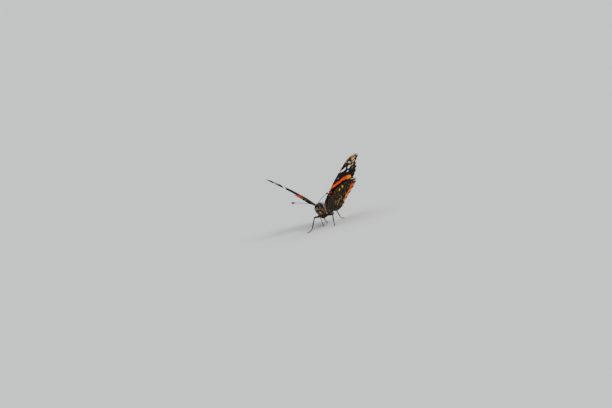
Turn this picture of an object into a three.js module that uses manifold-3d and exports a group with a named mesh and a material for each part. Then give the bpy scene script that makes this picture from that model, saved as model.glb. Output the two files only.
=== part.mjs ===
// A red admiral butterfly, life size, standing on its four walking legs with its wings held up in a V.
// Units are millimetres. X is the butterfly's left, Y points back along the body, Z is up.
// The body is drawn level, about the point midway between the wing roots, and then tips its head up.
// The legs are drawn on the floor plane, which all four feet touch.
import * as THREE from "three";
import { mergeVertices } from "three/addons/utils/BufferGeometryUtils.js";
import Module from "manifold-3d";

const wasm = await Module();
wasm.setup();

// Stance
const BODY_PITCH = THREE.MathUtils.degToRad(24); // head above tail
const WING_DIHEDRAL = THREE.MathUtils.degToRad(41); // wing plane above the body's own horizontal
const ROOT_HEIGHT = 11.5; // wing roots above the floor
const ROOT_AHEAD = 2.772; // wing roots ahead of the middle of the whole outline
const GAP = 0.3; // clearance between neighbouring solids

// Thorax
const THORAX_HALF_WIDTH = 3.05;
const THORAX_HALF_HEIGHT = 3.6;
const THORAX_HALF_LENGTH = 4.7;
const THORAX_DROP = 2.65; // thorax axis below the wing roots
const KEEL_DEPTH = 0.8; // how far the legs' bases swell below the thorax
const KEEL_BACK = 0.7; // middle of that swelling, behind the wing roots
const KEEL_HALF_LENGTH = 2.3;
const BREAST_PINCH = 0.2; // how much the thorax narrows below
const WING_ROOT_OUT = 2.2; // wing root from the mid plane
const HINDWING_BACK = 1.6; // hindwing root behind the forewing root

// Head
const HEAD_MIDDLE = new THREE.Vector3(0, -5.95, -3.05);
const HEAD_HALF_WIDTH = 1.4;
const HEAD_HALF_HEIGHT = 1.75;
const HEAD_HALF_LENGTH = 1.6;
const NECK_RADIUS = 1.0;
const EYE_RADIUS = 1.15;
const EYE_OUT = 1.31;
const EYE_FLATTEN = 0.62; // eye's width over its length
const EYE_STRETCH = 1.08; // eye's height over its length
const ANTENNA_ROOT = new THREE.Vector3(0.55, -6.35, -2.05);
const ANTENNA_BENDS = [[1.6, -8.2, -1.2], [5.4, -11.4, 0.0]];
const ANTENNA_TIP = new THREE.Vector3(10.7, -15.4, 0.8);
const ANTENNA_SHAFT_RADIUS = 0.26;
const ANTENNA_CLUB_RADIUS = 0.55;
const ANTENNA_CLUB_SHARE = 0.17; // of the antenna's length
const PALP_OUT = 0.58; // palp root from the mid plane
const PALP_LENGTH = 2.4;
const PALP_RADIUS = 0.4;
const PROBOSCIS_RADIUS = 0.26;

// Abdomen
const ABDOMEN_LENGTH = 13.2;
const ABDOMEN_RADIUS = 1.85;
const ABDOMEN_RISE = THREE.MathUtils.degToRad(4); // its lift above the thorax axis
const ABDOMEN_SEGMENTS = 8;

// Wings. Forewing points run along the base-to-apex line and across it, towards the inner margin.
const MEMBRANE = 0.5; // thickness
const VEIN_RIDGE = 0.15; // how far a main vein stands out of each face
const VEIN_HALF_WIDTH = 0.4;
const SCALLOP = 0.38; // how far the margin dips between two veins
const COSTA_EDGE = 0.85; // thickness of the leading edge
const FOREWING_LENGTH = 30.7;
const HINDWING_LENGTH = 21;
const FOREWING_SWEEP = THREE.MathUtils.degToRad(13); // apex ahead of straight out
const HINDWING_SWEEP = THREE.MathUtils.degToRad(-9); // from the set position
const HINDWING_BELOW = 1.1; // hindwing mid surface under the forewing's
const CAMBER = 0.5; // lift of the middle of the span
const LEFT_BOW = 0.45; // rise of a forewing's middle over its leading and inner edges
const RIGHT_BOW = 0.95;

// Legs
const FEMUR_RADIUS = 0.42;
const TIBIA_RADIUS = 0.3;
const TARSUS_RADIUS = 0.26;
const FOOT_SINK = 0.08; // depth of tarsus cut away to leave its flat
const INSTEP_HEIGHT = 0.3; // tarsus axis where it comes down from the ankle
const FEMUR_BOW = 0.15; // rise of the femur's middle
const FORELEG_PATH = [[0.62, -2.5, -5.1], [0.68, -3.5, -5.8], [0.66, -4.6, -5.95], [0.6, -5.5, -5.6]];
const FORELEG_RADIUS = 0.45;

const v3 = (x, y, z) => new THREE.Vector3(x, y, z);
const mirror = (p, side) => v3(p.x * side, p.y, p.z);
const ease = (x) => {
  const t = THREE.MathUtils.clamp(x, 0, 1);
  return t * t * (3 - 2 * t);
};

// Solids and cuts

function solid(geometry) {
  const bare = geometry.clone();
  bare.deleteAttribute("normal");
  bare.deleteAttribute("uv");
  const merged = mergeVertices(bare, 1e-4);
  return new wasm.Manifold(
    new wasm.Mesh({
      numProp: 3,
      vertProperties: merged.attributes.position.array,
      triVerts: new Uint32Array(merged.index.array),
    }),
  );
}

// The largest closed surface of a solid, as a geometry.
function geometryOf(cut) {
  const bodies = cut.decompose().sort((a, b) => b.volume() - a.volume());
  const mesh = bodies[0].getMesh();
  const positions = new Float32Array(mesh.numVert * 3);
  for (let i = 0; i < mesh.numVert; i++) {
    positions.set(mesh.vertProperties.subarray(i * mesh.numProp, i * mesh.numProp + 3), i * 3);
  }
  const geometry = new THREE.BufferGeometry();
  geometry.setAttribute("position", new THREE.BufferAttribute(positions, 3));
  geometry.setIndex(new THREE.BufferAttribute(new Uint32Array(mesh.triVerts), 1));
  geometry.computeVertexNormals();
  return geometry;
}

// A closed skin over a stack of rings, each an array of the same number of points, with a point at each end.
function loft(rings, first, last) {
  const sides = rings[0].length;
  const positions = [];
  const index = [];
  rings.forEach((ring) => ring.forEach((p) => positions.push(p.x, p.y, p.z)));
  const start = rings.length * sides;
  positions.push(first.x, first.y, first.z, last.x, last.y, last.z);
  for (let i = 0; i < rings.length - 1; i++) {
    for (let j = 0; j < sides; j++) {
      const a = i * sides + j;
      const b = i * sides + ((j + 1) % sides);
      index.push(a, b, b + sides, a, b + sides, a + sides);
    }
  }
  const end = (rings.length - 1) * sides;
  for (let j = 0; j < sides; j++) {
    const next = (j + 1) % sides;
    index.push(start, next, j);
    index.push(start + 1, end + j, end + next);
  }
  const geometry = new THREE.BufferGeometry();
  geometry.setAttribute("position", new THREE.Float32BufferAttribute(positions, 3));
  geometry.setIndex(index);
  return geometry;
}

// A tube of changing radius along a smooth curve through the points. Each radius belongs to an equal share of it.
function limb(points, radii, steps, sides, grow = 0) {
  const curve = new THREE.CatmullRomCurve3(points, false, "centripetal");
  const frames = curve.computeFrenetFrames(steps, false);
  const rings = [];
  for (let i = 0; i <= steps; i++) {
    const along = (i / steps) * (radii.length - 1);
    const k = Math.min(Math.floor(along), radii.length - 2);
    const radius = THREE.MathUtils.lerp(radii[k], radii[k + 1], along - k) + grow;
    const middle = curve.getPointAt(i / steps);
    const ring = [];
    for (let j = 0; j < sides; j++) {
      const a = (j / sides) * 2 * Math.PI;
      ring.push(
        middle
          .clone()
          .addScaledVector(frames.normals[i], Math.cos(a) * radius)
          .addScaledVector(frames.binormals[i], Math.sin(a) * radius),
      );
    }
    rings.push(ring);
  }
  const first = points[0].clone().addScaledVector(frames.tangents[0], -0.35 * (radii[0] + grow));
  const last = points[points.length - 1]
    .clone()
    .addScaledVector(frames.tangents[steps], 0.35 * (radii[radii.length - 1] + grow));
  return loft(rings, first, last);
}

// A body of elliptical sections along Y. Each station is [y, half width, half height, height of the axis].
// The underside may be narrowed by a pinch and deepened by a keel.
function trunk(stations, sides, grow = 0, pinch = 0, keel = 0) {
  const rings = stations.map(([y, halfWidth, halfHeight, z]) => {
    const ring = [];
    const deep = keel * Math.exp(-(((y - KEEL_BACK) / KEEL_HALF_LENGTH) ** 2));
    for (let j = 0; j < sides; j++) {
      const a = (j / sides) * 2 * Math.PI;
      const under = ease(-Math.cos(a));
      const x = Math.sin(a) * (halfWidth + grow) * (1 - pinch * under);
      ring.push(v3(x, y, z + Math.cos(a) * (halfHeight + grow) - deep * under));
    }
    return ring;
  });
  const [head, tail] = [stations[0], stations[stations.length - 1]];
  return loft(
    rings,
    v3(0, head[0] - grow - 0.3 * head[1], head[3]),
    v3(0, tail[0] + grow + 0.3 * tail[1], tail[3]),
  );
}

// Stations of an egg along Y: blunt at the front and fuller behind the middle when the skew is positive.
function eggStations(middle, halfLength, halfWidth, halfHeight, count, skew) {
  const stations = [];
  for (let i = 0; i < count; i++) {
    const u = -0.96 + (1.92 * i) / (count - 1);
    const shape = Math.pow(1 - u * u, 0.42) * (1 + skew * u);
    stations.push([middle.y + u * halfLength, halfWidth * shape, halfHeight * shape, middle.z]);
  }
  return stations;
}

// Thorax, head, eyes and abdomen

const thoraxStations = eggStations(
  v3(0, 0, -THORAX_DROP),
  THORAX_HALF_LENGTH,
  THORAX_HALF_WIDTH,
  THORAX_HALF_HEIGHT,
  11,
  0.04,
);
const thorax = solid(trunk(thoraxStations, 18, 0, BREAST_PINCH, KEEL_DEPTH));
const thoraxClear = solid(trunk(thoraxStations, 18, GAP, BREAST_PINCH, KEEL_DEPTH));

const headStations = eggStations(
  HEAD_MIDDLE,
  HEAD_HALF_LENGTH,
  HEAD_HALF_WIDTH,
  HEAD_HALF_HEIGHT,
  8,
  -0.05,
);

function eye(side, grow = 0) {
  const ball = new THREE.SphereGeometry(EYE_RADIUS + grow, 14, 10);
  ball.scale(EYE_FLATTEN, 1, EYE_STRETCH);
  ball.translate(side * EYE_OUT, HEAD_MIDDLE.y, HEAD_MIDDLE.z + 0.1);
  return solid(ball);
}

// The neck joins the back of the head to the front of the thorax.
const neck = solid(
  limb(
    [HEAD_MIDDLE.clone(), v3(0, -THORAX_HALF_LENGTH + 0.4, -THORAX_DROP - 0.3)],
    [NECK_RADIUS, NECK_RADIUS * 1.15],
    4,
    12,
  ),
);
const head = solid(trunk(headStations, 16))
  .add(neck)
  .subtract(thoraxClear)
  .subtract(eye(1, GAP))
  .subtract(eye(-1, GAP));
const headClear = solid(trunk(headStations, 16, GAP));

function abdomenGeometry(grow = 0) {
  const stations = [];
  const perSegment = 2;
  const steps = ABDOMEN_SEGMENTS * perSegment;
  const start = THORAX_HALF_LENGTH - 1.0;
  for (let i = 0; i <= steps; i++) {
    const u = i / steps;
    const taper = Math.min(1, 0.62 + 1.9 * u) * Math.pow(1 - Math.pow(0.97 * u, 3.2), 0.6);
    const ring = i % perSegment === 0 ? 0.94 : 1;
    const radius = Math.max(ABDOMEN_RADIUS * taper * ring, 0.3);
    const y = start + u * ABDOMEN_LENGTH;
    const z = -THORAX_DROP + (y - start) * Math.tan(ABDOMEN_RISE);
    stations.push([y, radius * 0.95, radius, z]);
  }
  return trunk(stations, 12, grow);
}
const abdomen = solid(abdomenGeometry()).subtract(thoraxClear);
const abdomenClear = solid(abdomenGeometry(GAP));

// Antennae, palps and proboscis, in the body's frame

function antenna(side) {
  const points = [ANTENNA_ROOT, ...ANTENNA_BENDS.map((p) => v3(...p)), ANTENNA_TIP];
  const steps = 23;
  const radii = Array.from({ length: steps + 1 }, (_, i) => {
    const club = ease((i - (1 - ANTENNA_CLUB_SHARE) * steps) / 2.4);
    const tip = i === steps ? 0.55 : 1;
    return THREE.MathUtils.lerp(ANTENNA_SHAFT_RADIUS, ANTENNA_CLUB_RADIUS, club) * tip;
  });
  return solid(limb(points.map((p) => mirror(p, side)), radii, steps, 7))
    .subtract(headClear)
    .subtract(eye(side, GAP));
}

function palp(side, grow = 0) {
  const root = v3(PALP_OUT, HEAD_MIDDLE.y - 0.6, HEAD_MIDDLE.z - 1.1);
  const points = [
    root,
    v3(PALP_OUT + 0.1, root.y - 0.45 * PALP_LENGTH, root.z - 0.1),
    v3(PALP_OUT, root.y - PALP_LENGTH, root.z + 0.32 * PALP_LENGTH),
  ];
  const radii = [PALP_RADIUS, PALP_RADIUS * 1.1, PALP_RADIUS * 0.9, PALP_RADIUS * 0.6];
  return solid(limb(points.map((p) => mirror(p, side)), radii, 8, 8, grow));
}

// Wings

// A smooth curve through plane points, as a function of its share of length.
function planeCurve(points) {
  const curve = new THREE.CatmullRomCurve3(points.map(([x, y]) => v3(x, y, 0)), false, "centripetal");
  return (t) => curve.getPointAt(THREE.MathUtils.clamp(t, 0, 1));
}

const forewing = {
  length: FOREWING_LENGTH,
  costa: planeCurve([[0, -0.7], [4, -1.7], [11, -2.6], [20, -2.7], [26.5, -2.3], [29.9, -1.0]]),
  outer: planeCurve([
    [29.9, -1.0],
    [30.7, 0.9],
    [30.6, 3.4],
    [29.6, 6.5],
    [27.8, 7.3],
    [25.8, 8.3],
    [23.9, 10.6],
    [21.8, 12.7],
    [19.2, 14.2],
    [16.2, 14.8],
  ]),
  inner: planeCurve([[0, 1.3], [4, 4.4], [10, 9.3], [16.2, 14.8]]),
  veins: [
    [0.08, 0.1],
    [0.19, 0.44],
    [0.31, 0.45],
    [0.43, 0.46],
    [0.55, 0.45],
    [0.68, 0.38],
    [0.82, 0.12],
    [0.95, 0.1],
  ],
  cellEnd: 0.46,
  cellVeins: [0.08, 0.82],
};

const hindwing = {
  length: HINDWING_LENGTH,
  costa: planeCurve([[0, -0.9], [4, -2.3], [10, -2.4], [15.3, 0.0], [18.9, 3.5]]),
  outer: planeCurve([
    [18.9, 3.5],
    [20.4, 5.9],
    [20.9, 8.4],
    [20.3, 10.7],
    [18.0, 12.7],
    [14.6, 13.9],
    [11.3, 14.6],
    [8.3, 15.2],
    [5.6, 15.6],
  ]),
  inner: planeCurve([[0, 1.2], [-0.5, 4.6], [0.4, 9.6], [2.4, 13.8], [5.6, 15.6]]),
  veins: [
    [0.08, 0.12],
    [0.22, 0.39],
    [0.36, 0.41],
    [0.5, 0.4],
    [0.64, 0.12],
    [0.78, 0.25],
    [0.92, 0.12],
  ],
  cellEnd: 0.41,
  cellVeins: [0.08, 0.64],
};

// A point of a wing: r runs from root to outer margin and t from the leading to the inner edge.
function wingPoint(wing, r, t) {
  const along = wing.costa(r).multiplyScalar(1 - t).addScaledVector(wing.inner(r), t);
  const bulge = wing.outer(t).addScaledVector(wing.outer(0), t - 1).addScaledVector(wing.outer(1), -t);
  return along.addScaledVector(bulge, r);
}

// Columns of a wing's grid: each vein has its crest and its two feet, and a membrane column lies between veins.
function wingColumns(wing) {
  const foot = VEIN_HALF_WIDTH / 20;
  const columns = [{ t: 0, edge: 1 }, { t: 0.03, edge: 0.2 }];
  wing.veins.forEach(([t, from], i) => {
    columns.push({ t: t - foot }, { t, from }, { t: t + foot });
    if (i < wing.veins.length - 1) {
      columns.push({ t: (t + wing.veins[i + 1][0]) / 2, dip: 1 });
    }
  });
  columns.push({ t: 1 });
  return columns.sort((a, b) => a.t - b.t);
}

function wingRows(wing) {
  const crest = wing.cellEnd;
  const foot = VEIN_HALF_WIDTH / wing.length;
  return [0, 0.12, 0.28, crest - foot, crest, crest + foot, 0.62, 0.78, 0.92, 1];
}

// A wing as a plate with its veins raised on both faces. X runs out from the root, Y back and Z to the upper face.
function wingGeometry(wing, side, turn, drop) {
  const bow = side > 0 ? LEFT_BOW : RIGHT_BOW;
  const columns = wingColumns(wing);
  const rows = wingRows(wing);
  const [cellTop, cellBottom] = wing.cellVeins;
  const positions = [];
  for (const face of [1, -1]) {
    rows.forEach((r) => {
      columns.forEach((column) => {
        const p = wingPoint(wing, r, column.t);
        if (column.dip) {
          p.multiplyScalar(1 - (SCALLOP / p.length()) * ease((r - 0.85) / 0.15));
        }
        const span = p.x * Math.cos(turn) + p.y * Math.sin(turn);
        const back = p.y * Math.cos(turn) - p.x * Math.sin(turn);
        const onVein = column.from === undefined ? 0 : ease((r - column.from) / 0.04 + 1);
        const inCell = column.t > cellTop && column.t < cellBottom && r === wing.cellEnd ? 1 : 0;
        const ridge = VEIN_RIDGE * Math.max(onVein, inCell) * ease(r / 0.15) * (1 - ease((r - 0.9) / 0.12));
        const half = THREE.MathUtils.lerp(MEMBRANE, COSTA_EDGE, (column.edge ?? 0) * (1 - 0.8 * r)) / 2 + ridge;
        const camber = CAMBER * Math.sin((Math.PI * THREE.MathUtils.clamp(span, 0, FOREWING_LENGTH)) / FOREWING_LENGTH);
        const arch = (wing === forewing ? Math.sin(Math.PI * column.t) : 0) - 0.5;
        const lift = camber + bow * arch * ease(r / 0.3);
        positions.push(side * span, back, lift - drop + face * half);
      });
    });
  }
  const across = columns.length;
  const layer = across * rows.length;
  const index = [];
  const quad = (a, b, c, d) => index.push(a, b, c, a, c, d);
  for (let i = 0; i < rows.length - 1; i++) {
    for (let j = 0; j < across - 1; j++) {
      const a = i * across + j;
      quad(a, a + 1, a + across + 1, a + across);
      quad(layer + a, layer + a + across, layer + a + across + 1, layer + a + 1);
    }
  }
  for (let j = 0; j < across - 1; j++) {
    const a = (rows.length - 1) * across + j;
    quad(j + 1, j, layer + j, layer + j + 1);
    quad(a, a + 1, layer + a + 1, layer + a);
  }
  for (let i = 0; i < rows.length - 1; i++) {
    const a = i * across;
    const b = a + across - 1;
    quad(a, a + across, layer + a + across, layer + a);
    quad(b + across, b, layer + b, layer + b + across);
  }
  if (side > 0) index.reverse();
  const geometry = new THREE.BufferGeometry();
  geometry.setAttribute("position", new THREE.Float32BufferAttribute(positions, 3));
  geometry.setIndex(index);
  return geometry;
}

// Tips a wing up about its root and moves it out to the thorax.
function wingPlacement(side, back) {
  return new THREE.Matrix4()
    .makeRotationY(-side * WING_DIHEDRAL)
    .setPosition(side * WING_ROOT_OUT, back, 0);
}

function wingSolid(wing, side, turn, drop, back) {
  const geometry = wingGeometry(wing, side, turn, drop).applyMatrix4(wingPlacement(side, back));
  return solid(geometry).subtract(thoraxClear).subtract(abdomenClear);
}

// The whole figure: the body group is pitched, and the legs stand beside it in the floor's frame.

const butterfly = new THREE.Group();
butterfly.position.set(0, -ROOT_AHEAD, 0);
const body = new THREE.Group();
body.position.set(0, 0, ROOT_HEIGHT);
body.rotation.x = -BODY_PITCH;
const legs = new THREE.Group();
butterfly.add(body, legs);
body.updateMatrix();

const finish = (colour, roughness) => new THREE.MeshStandardMaterial({ color: colour, roughness, metalness: 0 });
const finishes = {
  coat: finish(0x5a4a3c, 0.9),
  dark: finish(0x2a211c, 0.85),
  eye: finish(0x4a2e1e, 0.25),
  horn: finish(0x1c1613, 0.5),
  leg: finish(0x6b5138, 0.7),
  forewing: finish(0x1b1715, 0.8),
  hindwing: finish(0x3a2c22, 0.8),
};

function put(group, name, shape, material) {
  const mesh = new THREE.Mesh(geometryOf(shape), material);
  mesh.name = name;
  group.add(mesh);
}

const sides = [["left", 1], ["right", -1]];

put(body, "thorax", thorax, finishes.coat);
put(body, "abdomen", abdomen, finishes.dark);

const palps = sides.map(([, side]) => palp(side).subtract(headClear));
put(body, "head", head, finishes.coat);

// The proboscis hangs from between the palps and stops just short of the floor.
const toBody = body.matrix.clone().invert();
const onFloor = (x, y, z) => v3(x, y, z).applyMatrix4(toBody);
const proboscisPath = [
  v3(0, HEAD_MIDDLE.y - 0.55, HEAD_MIDDLE.z - 1.2),
  v3(0, HEAD_MIDDLE.y - 1.2, HEAD_MIDDLE.z - 2.4),
  onFloor(-0.1, -7.6, 6.4),
  onFloor(-0.3, -6.3, 2.8),
  onFloor(-0.5, -5.4, 0.5),
];
const proboscis = solid(limb(proboscisPath, [PROBOSCIS_RADIUS, PROBOSCIS_RADIUS, PROBOSCIS_RADIUS], 14, 8))
  .subtract(headClear)
  .subtract(palp(1, GAP))
  .subtract(palp(-1, GAP));
put(body, "proboscis", proboscis, finishes.horn);

sides.forEach(([label, side], i) => {
  put(body, `eye_${label}`, eye(side), finishes.eye);
  put(body, `palp_${label}`, palps[i], finishes.coat);
  put(body, `antenna_${label}`, antenna(side), finishes.horn);
  put(body, `forewing_${label}`, wingSolid(forewing, side, FOREWING_SWEEP, 0, 0), finishes.forewing);
  put(
    body,
    `hindwing_${label}`,
    wingSolid(hindwing, side, HINDWING_SWEEP, HINDWING_BELOW, HINDWING_BACK),
    finishes.hindwing,
  );
});

// Forelegs: the short brush-like front pair, folded against the chest.
function foreleg(side) {
  const points = FORELEG_PATH.map((p) => mirror(v3(...p), side));
  const radii = [FORELEG_RADIUS, FORELEG_RADIUS, FORELEG_RADIUS * 0.9, FORELEG_RADIUS * 0.56];
  return solid(limb(points, radii, 10, 8))
    .subtract(thoraxClear)
    .subtract(headClear);
}
sides.forEach(([label, side]) => put(body, `foreleg_${label}`, foreleg(side), finishes.leg));

// Walking legs: hips in the body's frame, and the other joints above the floor. Toes lie on it.
const walkingLegs = {
  midleg_left: { hip: [1.1, -0.7, -6.2], knee: [6.1, -5.5, 5.7], ankle: [5.7, -6.2, 1.2], toe: [6.8, -9.5] },
  midleg_right: { hip: [-1.1, -0.7, -6.2], knee: [-3.9, -5.0, 6.6], ankle: [-7.0, -5.3, 1.2], toe: [-10.0, -7.0] },
  hindleg_left: { hip: [1.1, 1.5, -6.0], knee: [4.9, 5.7, 6.7], ankle: [5.2, 8.3, 1.2], toe: [6.0, 11.8] },
  hindleg_right: { hip: [-1.1, 1.5, -6.0], knee: [-4.0, 5.7, 6.4], ankle: [-3.1, 8.7, 1.2], toe: [-3.5, 12.3] },
};

const worldThorax = thoraxClear.transform(body.matrix.toArray());

// One straight or gently bowed length of leg between two joints, short of each by half the gap.
function segment(from, to, radii, steps, bow = 0) {
  const along = to.clone().sub(from).normalize();
  const start = from.clone().addScaledVector(along, 0.5 * GAP);
  const end = to.clone().addScaledVector(along, -0.5 * GAP);
  const middle = start.clone().lerp(end, 0.5).add(v3(0, 0, bow));
  return limb([start, middle, end], radii, steps, 8);
}

function walkingLeg(name, { hip, knee, ankle, toe }) {
  const hipPoint = v3(...hip).applyMatrix4(body.matrix);
  const kneePoint = v3(...knee);
  const anklePoint = v3(...ankle);
  const toePoint = v3(...toe, TARSUS_RADIUS - FOOT_SINK);
  const femur = solid(
    segment(hipPoint, kneePoint, [FEMUR_RADIUS * 1.25, FEMUR_RADIUS, FEMUR_RADIUS * 0.72], 7, FEMUR_BOW),
  ).subtract(worldThorax);
  const tibia = solid(segment(kneePoint, anklePoint, [TIBIA_RADIUS * 1.05, TIBIA_RADIUS, TIBIA_RADIUS * 0.95], 6));
  const heel = anklePoint.clone();
  const onToes = heel.clone().lerp(toePoint, 0.45);
  onToes.z = INSTEP_HEIGHT;
  const ball = heel.clone().lerp(toePoint, 0.7);
  ball.z = toePoint.z;
  const away = onToes.clone().sub(heel).normalize();
  const tarsus = solid(
    limb(
      [heel.addScaledVector(away, 0.5 * GAP), onToes, ball, toePoint],
      [TARSUS_RADIUS, TARSUS_RADIUS],
      9,
      8,
    ),
  ).trimByPlane([0, 0, 1], 0);
  put(legs, `${name}_femur`, femur, finishes.horn);
  put(legs, `${name}_tibia`, tibia, finishes.leg);
  put(legs, `${name}_tarsus`, tarsus, finishes.leg);
}
Object.entries(walkingLegs).forEach(([name, joints]) => walkingLeg(name, joints));

export default butterfly;
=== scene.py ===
"""A red admiral butterfly, life size, dressed for a portrait on a plain pale floor.

Every surface is worked out with numpy in millimetres, as arrays over a grid of two parameters or along
a path, and becomes metres when its mesh is made. Shapes of the body, head and wings are drawn in the
body's own frame (x to the butterfly's left, y backwards, z up, origin midway between the wing roots)
and then tipped head up onto the floor. Wing points are drawn in the wing's own plane, x outwards from
its root and y backwards. Each point of a wing also has r, from its root (0) to its outer margin (1),
and t, from its leading edge (0) to its inner edge (1).

A surface is held as its points, its faces, its uv and its colours, with None for either of the last two
where it has none.
"""

import math

import bpy
import numpy as np
from mathutils import Matrix, Vector


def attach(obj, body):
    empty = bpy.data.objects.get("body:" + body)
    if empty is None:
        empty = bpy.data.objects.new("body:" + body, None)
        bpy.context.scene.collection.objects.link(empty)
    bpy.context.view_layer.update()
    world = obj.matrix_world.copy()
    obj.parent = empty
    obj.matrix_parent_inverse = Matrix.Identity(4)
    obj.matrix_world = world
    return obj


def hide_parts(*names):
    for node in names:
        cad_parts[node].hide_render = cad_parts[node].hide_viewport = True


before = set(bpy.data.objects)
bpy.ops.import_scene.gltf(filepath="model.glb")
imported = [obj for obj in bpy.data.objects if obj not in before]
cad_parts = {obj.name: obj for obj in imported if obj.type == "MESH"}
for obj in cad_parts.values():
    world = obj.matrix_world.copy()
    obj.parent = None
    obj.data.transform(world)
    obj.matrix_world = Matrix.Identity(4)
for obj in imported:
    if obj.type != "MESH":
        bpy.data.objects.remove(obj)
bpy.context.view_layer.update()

MM = 0.001

# Stance, the same as in the solids
BODY_PITCH = math.radians(24)
WING_DIHEDRAL = math.radians(41)
ROOT_HEIGHT = 11.5
ROOT_AHEAD = 2.772
WING_ROOT_OUT = 2.2
HINDWING_BACK = 1.6

# Wings
FOREWING_LENGTH = 30.7
FOREWING_SWEEP = math.radians(13)
HINDWING_SWEEP = math.radians(-9)
HINDWING_BELOW = 0.6
CAMBER = 0.5
FOREWING_ARCH = {1: 0.45, -1: 0.95}  # left and right: the right wing is the more bowed
HINDWING_ARCH = 0.3
INNER_FOLD = 0.5
MEMBRANE_HALF = 0.05
COSTA_HALF = 0.13  # added along the leading edge, most at the root
VEIN_HALF_WIDTH = 0.15
VEIN_HEIGHT = 0.09
PLEAT = 0.11
SCALLOP = 0.55
FRINGE_SCALES = 2600
FRINGE_LENGTH = 0.8
FRINGE_WIDTH = 0.07
FRINGE_OVERLAP = 0.06
WING_HAIR_LENGTHS = (0.9, 1.9)
WING_HAIR_WIDTH = 0.032

# Body
ABDOMEN_START = 4.6
SEGMENT_LENGTH = 1.55
SEGMENT_STEP = 0.07  # how much wider a segment's rear edge is than its front, as a share of its width
SHOULDER_SWELL = 0.36
BODY_CAP = 0.12  # from the body's last rings to its end points
KEEL_DEPTH = 0.85  # how far the legs' bases swell below the thorax
BREAST_PINCH = 0.2  # how much the thorax narrows below
# The cream stripe on the thorax's side: how far below the wing roots, and where along the body
STRIPE_DEPTH = [0.4, 1.2, 2.2, 3.0, 4.0, 5.1, 6.3]
STRIPE_PLACE = [-2.9, -3.3, -3.5, -3.3, -2.1, -0.3, 1.2]
SKIN_ROWS = 300
SKIN_SIDES = 96

# Coats of the body: how many hairs, how long and how wide they are, and how far they stand up
HEAD_COAT = {"count": 6500, "lengths": (0.28, 0.62), "width": 0.021, "stand": 0.9}
THORAX_COAT = {"count": 18000, "lengths": (0.65, 1.35), "width": 0.03, "stand": 0.75}
ABDOMEN_COAT = {"count": 15000, "lengths": (0.25, 0.5), "width": 0.03, "stand": 0.22}

# Head
EYE_CENTRE = (1.12, -5.95, -3.0)
EYE_HALF = (0.74, 1.15, 1.28)
EYE_LEAN = 0.12  # inwards, for each millimetre up
EYE_RIM_SCALES = 900
EYE_RIM_LENGTHS = (0.2, 0.34)
EYE_RIM_WIDTH = 0.022
ANTENNA_PATH = [(0.45, -6.2, -1.9), (1.6, -8.2, -1.2), (5.4, -11.4, 0.0), (10.7, -15.4, 0.8)]
ANTENNA_SEGMENTS = 38
SHAFT_RADIUS = 0.18
CLUB_SWELL = 0.36
PROBOSCIS_IN_BODY = [(0, -6.4, -4.2), (0, -7.2, -5.4)]
PROBOSCIS_ON_FLOOR = [(-0.1, -7.6, 6.4), (-0.3, -6.3, 2.8), (-0.5, -5.4, 0.45)]
PROBOSCIS_RADIUS = 0.2
PROBOSCIS_TAPER = 0.08
PROBOSCIS_RINGS = 75

# Limbs with a coat of their own: path, radii evenly from root to tip, and how many hairs, how long, and
# how far they stand up
PALP = {
    "path": [(0.42, -6.3, -4.05), (0.52, -7.5, -4.1), (0.42, -8.7, -3.2)],
    "radii": [0.3, 0.34, 0.36, 0.33, 0.27, 0.12],
    "reference": (0.2, 0, 1),
    "count": 1500,
    "lengths": (0.22, 0.45),
    "stand": 0.5,
}
FORELEG = {
    "path": [(0.6, -2.5, -5.1), (0.68, -3.5, -5.8), (0.64, -4.6, -5.95), (0.55, -5.5, -5.55)],
    "radii": [0.34, 0.36, 0.3, 0.24, 0.1],
    "reference": (1, 0, 0),
    "count": 1800,
    "lengths": (0.35, 0.75),
    "stand": 0.6,
}

LIMB_HAIR_WIDTH = 0.024

# Walking legs: the hip in the body's frame, then knee, ankle and toe above the floor
TARSUS_HALF = 0.22
LEGS = {
    "midleg_left": [(1.1, -0.7, -6.2), (6.1, -5.5, 5.7), (5.7, -6.2, 1.2), (6.8, -9.4, TARSUS_HALF)],
    "midleg_right": [(-1.1, -0.7, -6.2), (-3.9, -5.0, 6.6), (-7.0, -5.3, 1.2), (-9.9, -7.0, TARSUS_HALF)],
    "hindleg_left": [(1.1, 1.5, -6.0), (4.9, 5.7, 6.7), (5.2, 8.3, 1.2), (6.0, 11.7, TARSUS_HALF)],
    "hindleg_right": [(-1.1, 1.5, -6.0), (-4.0, 5.7, 6.4), (-3.1, 8.7, 1.2), (-3.5, 12.2, TARSUS_HALF)],
}
LEG_RADII = [0.46, 0.52, 0.46, 0.38, 0.31, 0.34, 0.34, 0.3, 0.25]  # from hip to ankle, evenly
LEG_HAIRS = 1500
LEG_HAIR_WIDTH = 0.02
FEMUR_HAIR = 0.3
SHIN_HAIR = 0.12
SPINES_IN_ROW = 26
SPINE_LENGTH = 0.5
SPINE_WIDTH = 0.035
SOLE = 0.02  # nothing on a leg goes lower than this above the floor
CLAW_LENGTH = 0.26
CLAW_RADII = np.linspace(0.055, 0.012, 12)

# Camera: the photograph's frame, and where it shows the point midway between the wing roots
PHOTO_SIZE = (612, 408)
PHOTO_SCALE = 1.931  # pixels for each millimetre
ROOT_PIXEL = (320.99, 204.64)
CAMERA_AZIMUTH = math.radians(18.98)  # round from the butterfly's front to its left
CAMERA_ELEVATION = math.radians(6.9)
CAMERA_ROLL = math.radians(18.56)
CAMERA_DISTANCE = 1500.0
SENSOR = 36.0

FLOOR_HALF = 40.0  # metres
COAT_SEED = 7


def linear(code):
    """Linear colour of an sRGB hex value."""
    value = np.array([int(code[i : i + 2], 16) / 255 for i in (1, 3, 5)])
    return np.where(value <= 0.04045, value / 12.92, ((value + 0.055) / 1.055) ** 2.4)


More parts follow.
